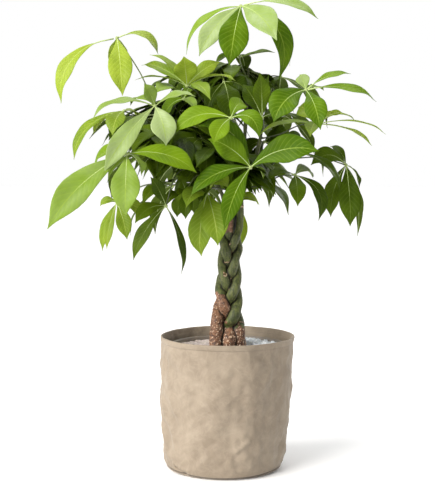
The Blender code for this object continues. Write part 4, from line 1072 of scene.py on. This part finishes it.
def makeFilm():
    # A ring of thin film: it lies over the soil in sharp crinkles, folds where noise crosses zero.
    turn = around(film["columns"])
    share = np.linspace(0, 1, film["rows"])[:, None]
    inner = film["inner"] + 0.004 * ripple(xyz(np.cos(turn), np.sin(turn), 0.0) * 0.1, 0.06, 91)
    radius = inner + (film["outer"] - inner) * share
    x, y = radius * np.cos(turn), radius * np.sin(turn)
    flat = xyz(x, y, 0.0)
    rough = 0.35 + 0.65 * smooth(x, -0.02, 0.03)
    sharp = 1 - abs(ripple(flat, 0.017, 92)) + 0.6 * (1 - abs(ripple(flat, 0.008, 93)))
    lift = film["lift"] * (0.7 + rough * np.maximum(sharp, 0) * 1.25) * smooth(share, 0.0, 0.12)
    top = soil["top"] + 0.0006 + lift * (1 - 0.5 * smooth(share, 0.9, 1.0))
    upper, lower = xyz(x, y, top + film["thickness"]), xyz(x, y, top)
    rings = np.concatenate([upper, lower[::-1]])
    return closedLathe("crinkled_film", rings, filmSkin(), "liner_film")


makeFilm()
print("pot, soil and film made")


# The floor, the lights and the camera

studio = {
    "lens": 90.4,
    "sensor": 36.0,
    "camera": (-0.018, -2.2, 0.581),
    "pitch": -4.83,
    "floor": 0.92,
    "floorReach": 14.0,
    "sky": (0.30, 0.62, 1.0, 0.25),  # two heights of view, and the strength at each
    "sunWay": (0.70, 0.54, -0.47),
    "sunPower": 5.6,
    "sunAngle": 50,
    "sunColour": (1.0, 0.98, 0.95),
    "lights": (  # name, place, what it points at, width and power
        ("topLight", (0.2, 0.5, 2.3), (0, 0, 0.4), 1.4, 26),
        ("rimLight", (1.6, 1.6, 1.5), (0, 0, 0.5), 1.0, 16),
    ),
}


def aim(thing, way):  # turns a light so that it looks that way
    thing.rotation_euler = (math.atan2(math.hypot(way[0], way[1]), -way[2]), 0, math.atan2(-way[0], way[1]))


def makeFloor():
    paint = Paint("paleFloor")
    grain = paint.noise(6.0, 3.0)
    level = studio["floor"]
    paint.finish(paint.mix(grain, (level * 0.99,) * 3, (level,) * 3), 0.9)
    far = studio["floorReach"]
    mesh = bpy.data.meshes.new("floor")
    mesh.from_pydata([(-far, -far, 0), (far, -far, 0), (far, far, 0), (-far, far, 0)], [], [(0, 1, 2, 3)])
    mesh.materials.append(paint.material)
    placed("floor", mesh)


def makeLights():
    sun = bpy.data.lights.new("keyLight", "SUN")
    sun.energy, sun.angle = studio["sunPower"], math.radians(studio["sunAngle"])
    sun.color = studio["sunColour"]
    aim(placed("keyLight", sun), studio["sunWay"])
    for name, place, target, size, power in studio["lights"]:
        light = bpy.data.lights.new(name, "AREA")
        light.size, light.energy = size, power
        lamp = placed(name, light)
        lamp.location = place
        aim(lamp, np.array(target) - place)


def makeWorld():  # white all round up to the camera's view, and dimmer overhead
    world = bpy.data.worlds.new("paleStudio")
    world.use_nodes = True
    tree = world.node_tree
    sky = tree.nodes["Background"]
    kinds = ("TexCoord", "SeparateXYZ", "MapRange")
    way, height, level = (tree.nodes.new("ShaderNode" + kind) for kind in kinds)
    level.interpolation_type = "SMOOTHSTEP"
    for socket, value in zip(level.inputs[1:5], studio["sky"]):
        socket.default_value = value
    tree.links.new(way.outputs["Generated"], height.inputs[0])
    tree.links.new(height.outputs["Z"], level.inputs["Value"])
    tree.links.new(level.outputs["Result"], sky.inputs["Strength"])
    sky.inputs["Color"].default_value = (1, 1, 1, 1)
    bpy.context.scene.world = world


def makeStudio():
    makeFloor()
    makeLights()
    makeWorld()
    lens = bpy.data.cameras.new("camera")
    lens.lens, lens.sensor_width = studio["lens"], studio["sensor"]
    camera = placed("camera", lens)
    camera.location = studio["camera"]
    camera.rotation_euler = (math.radians(90 + studio["pitch"]), 0, 0)
    bpy.context.scene.camera = camera
    bpy.context.scene.view_settings.view_transform = "Standard"


makeStudio()
print("studio made")
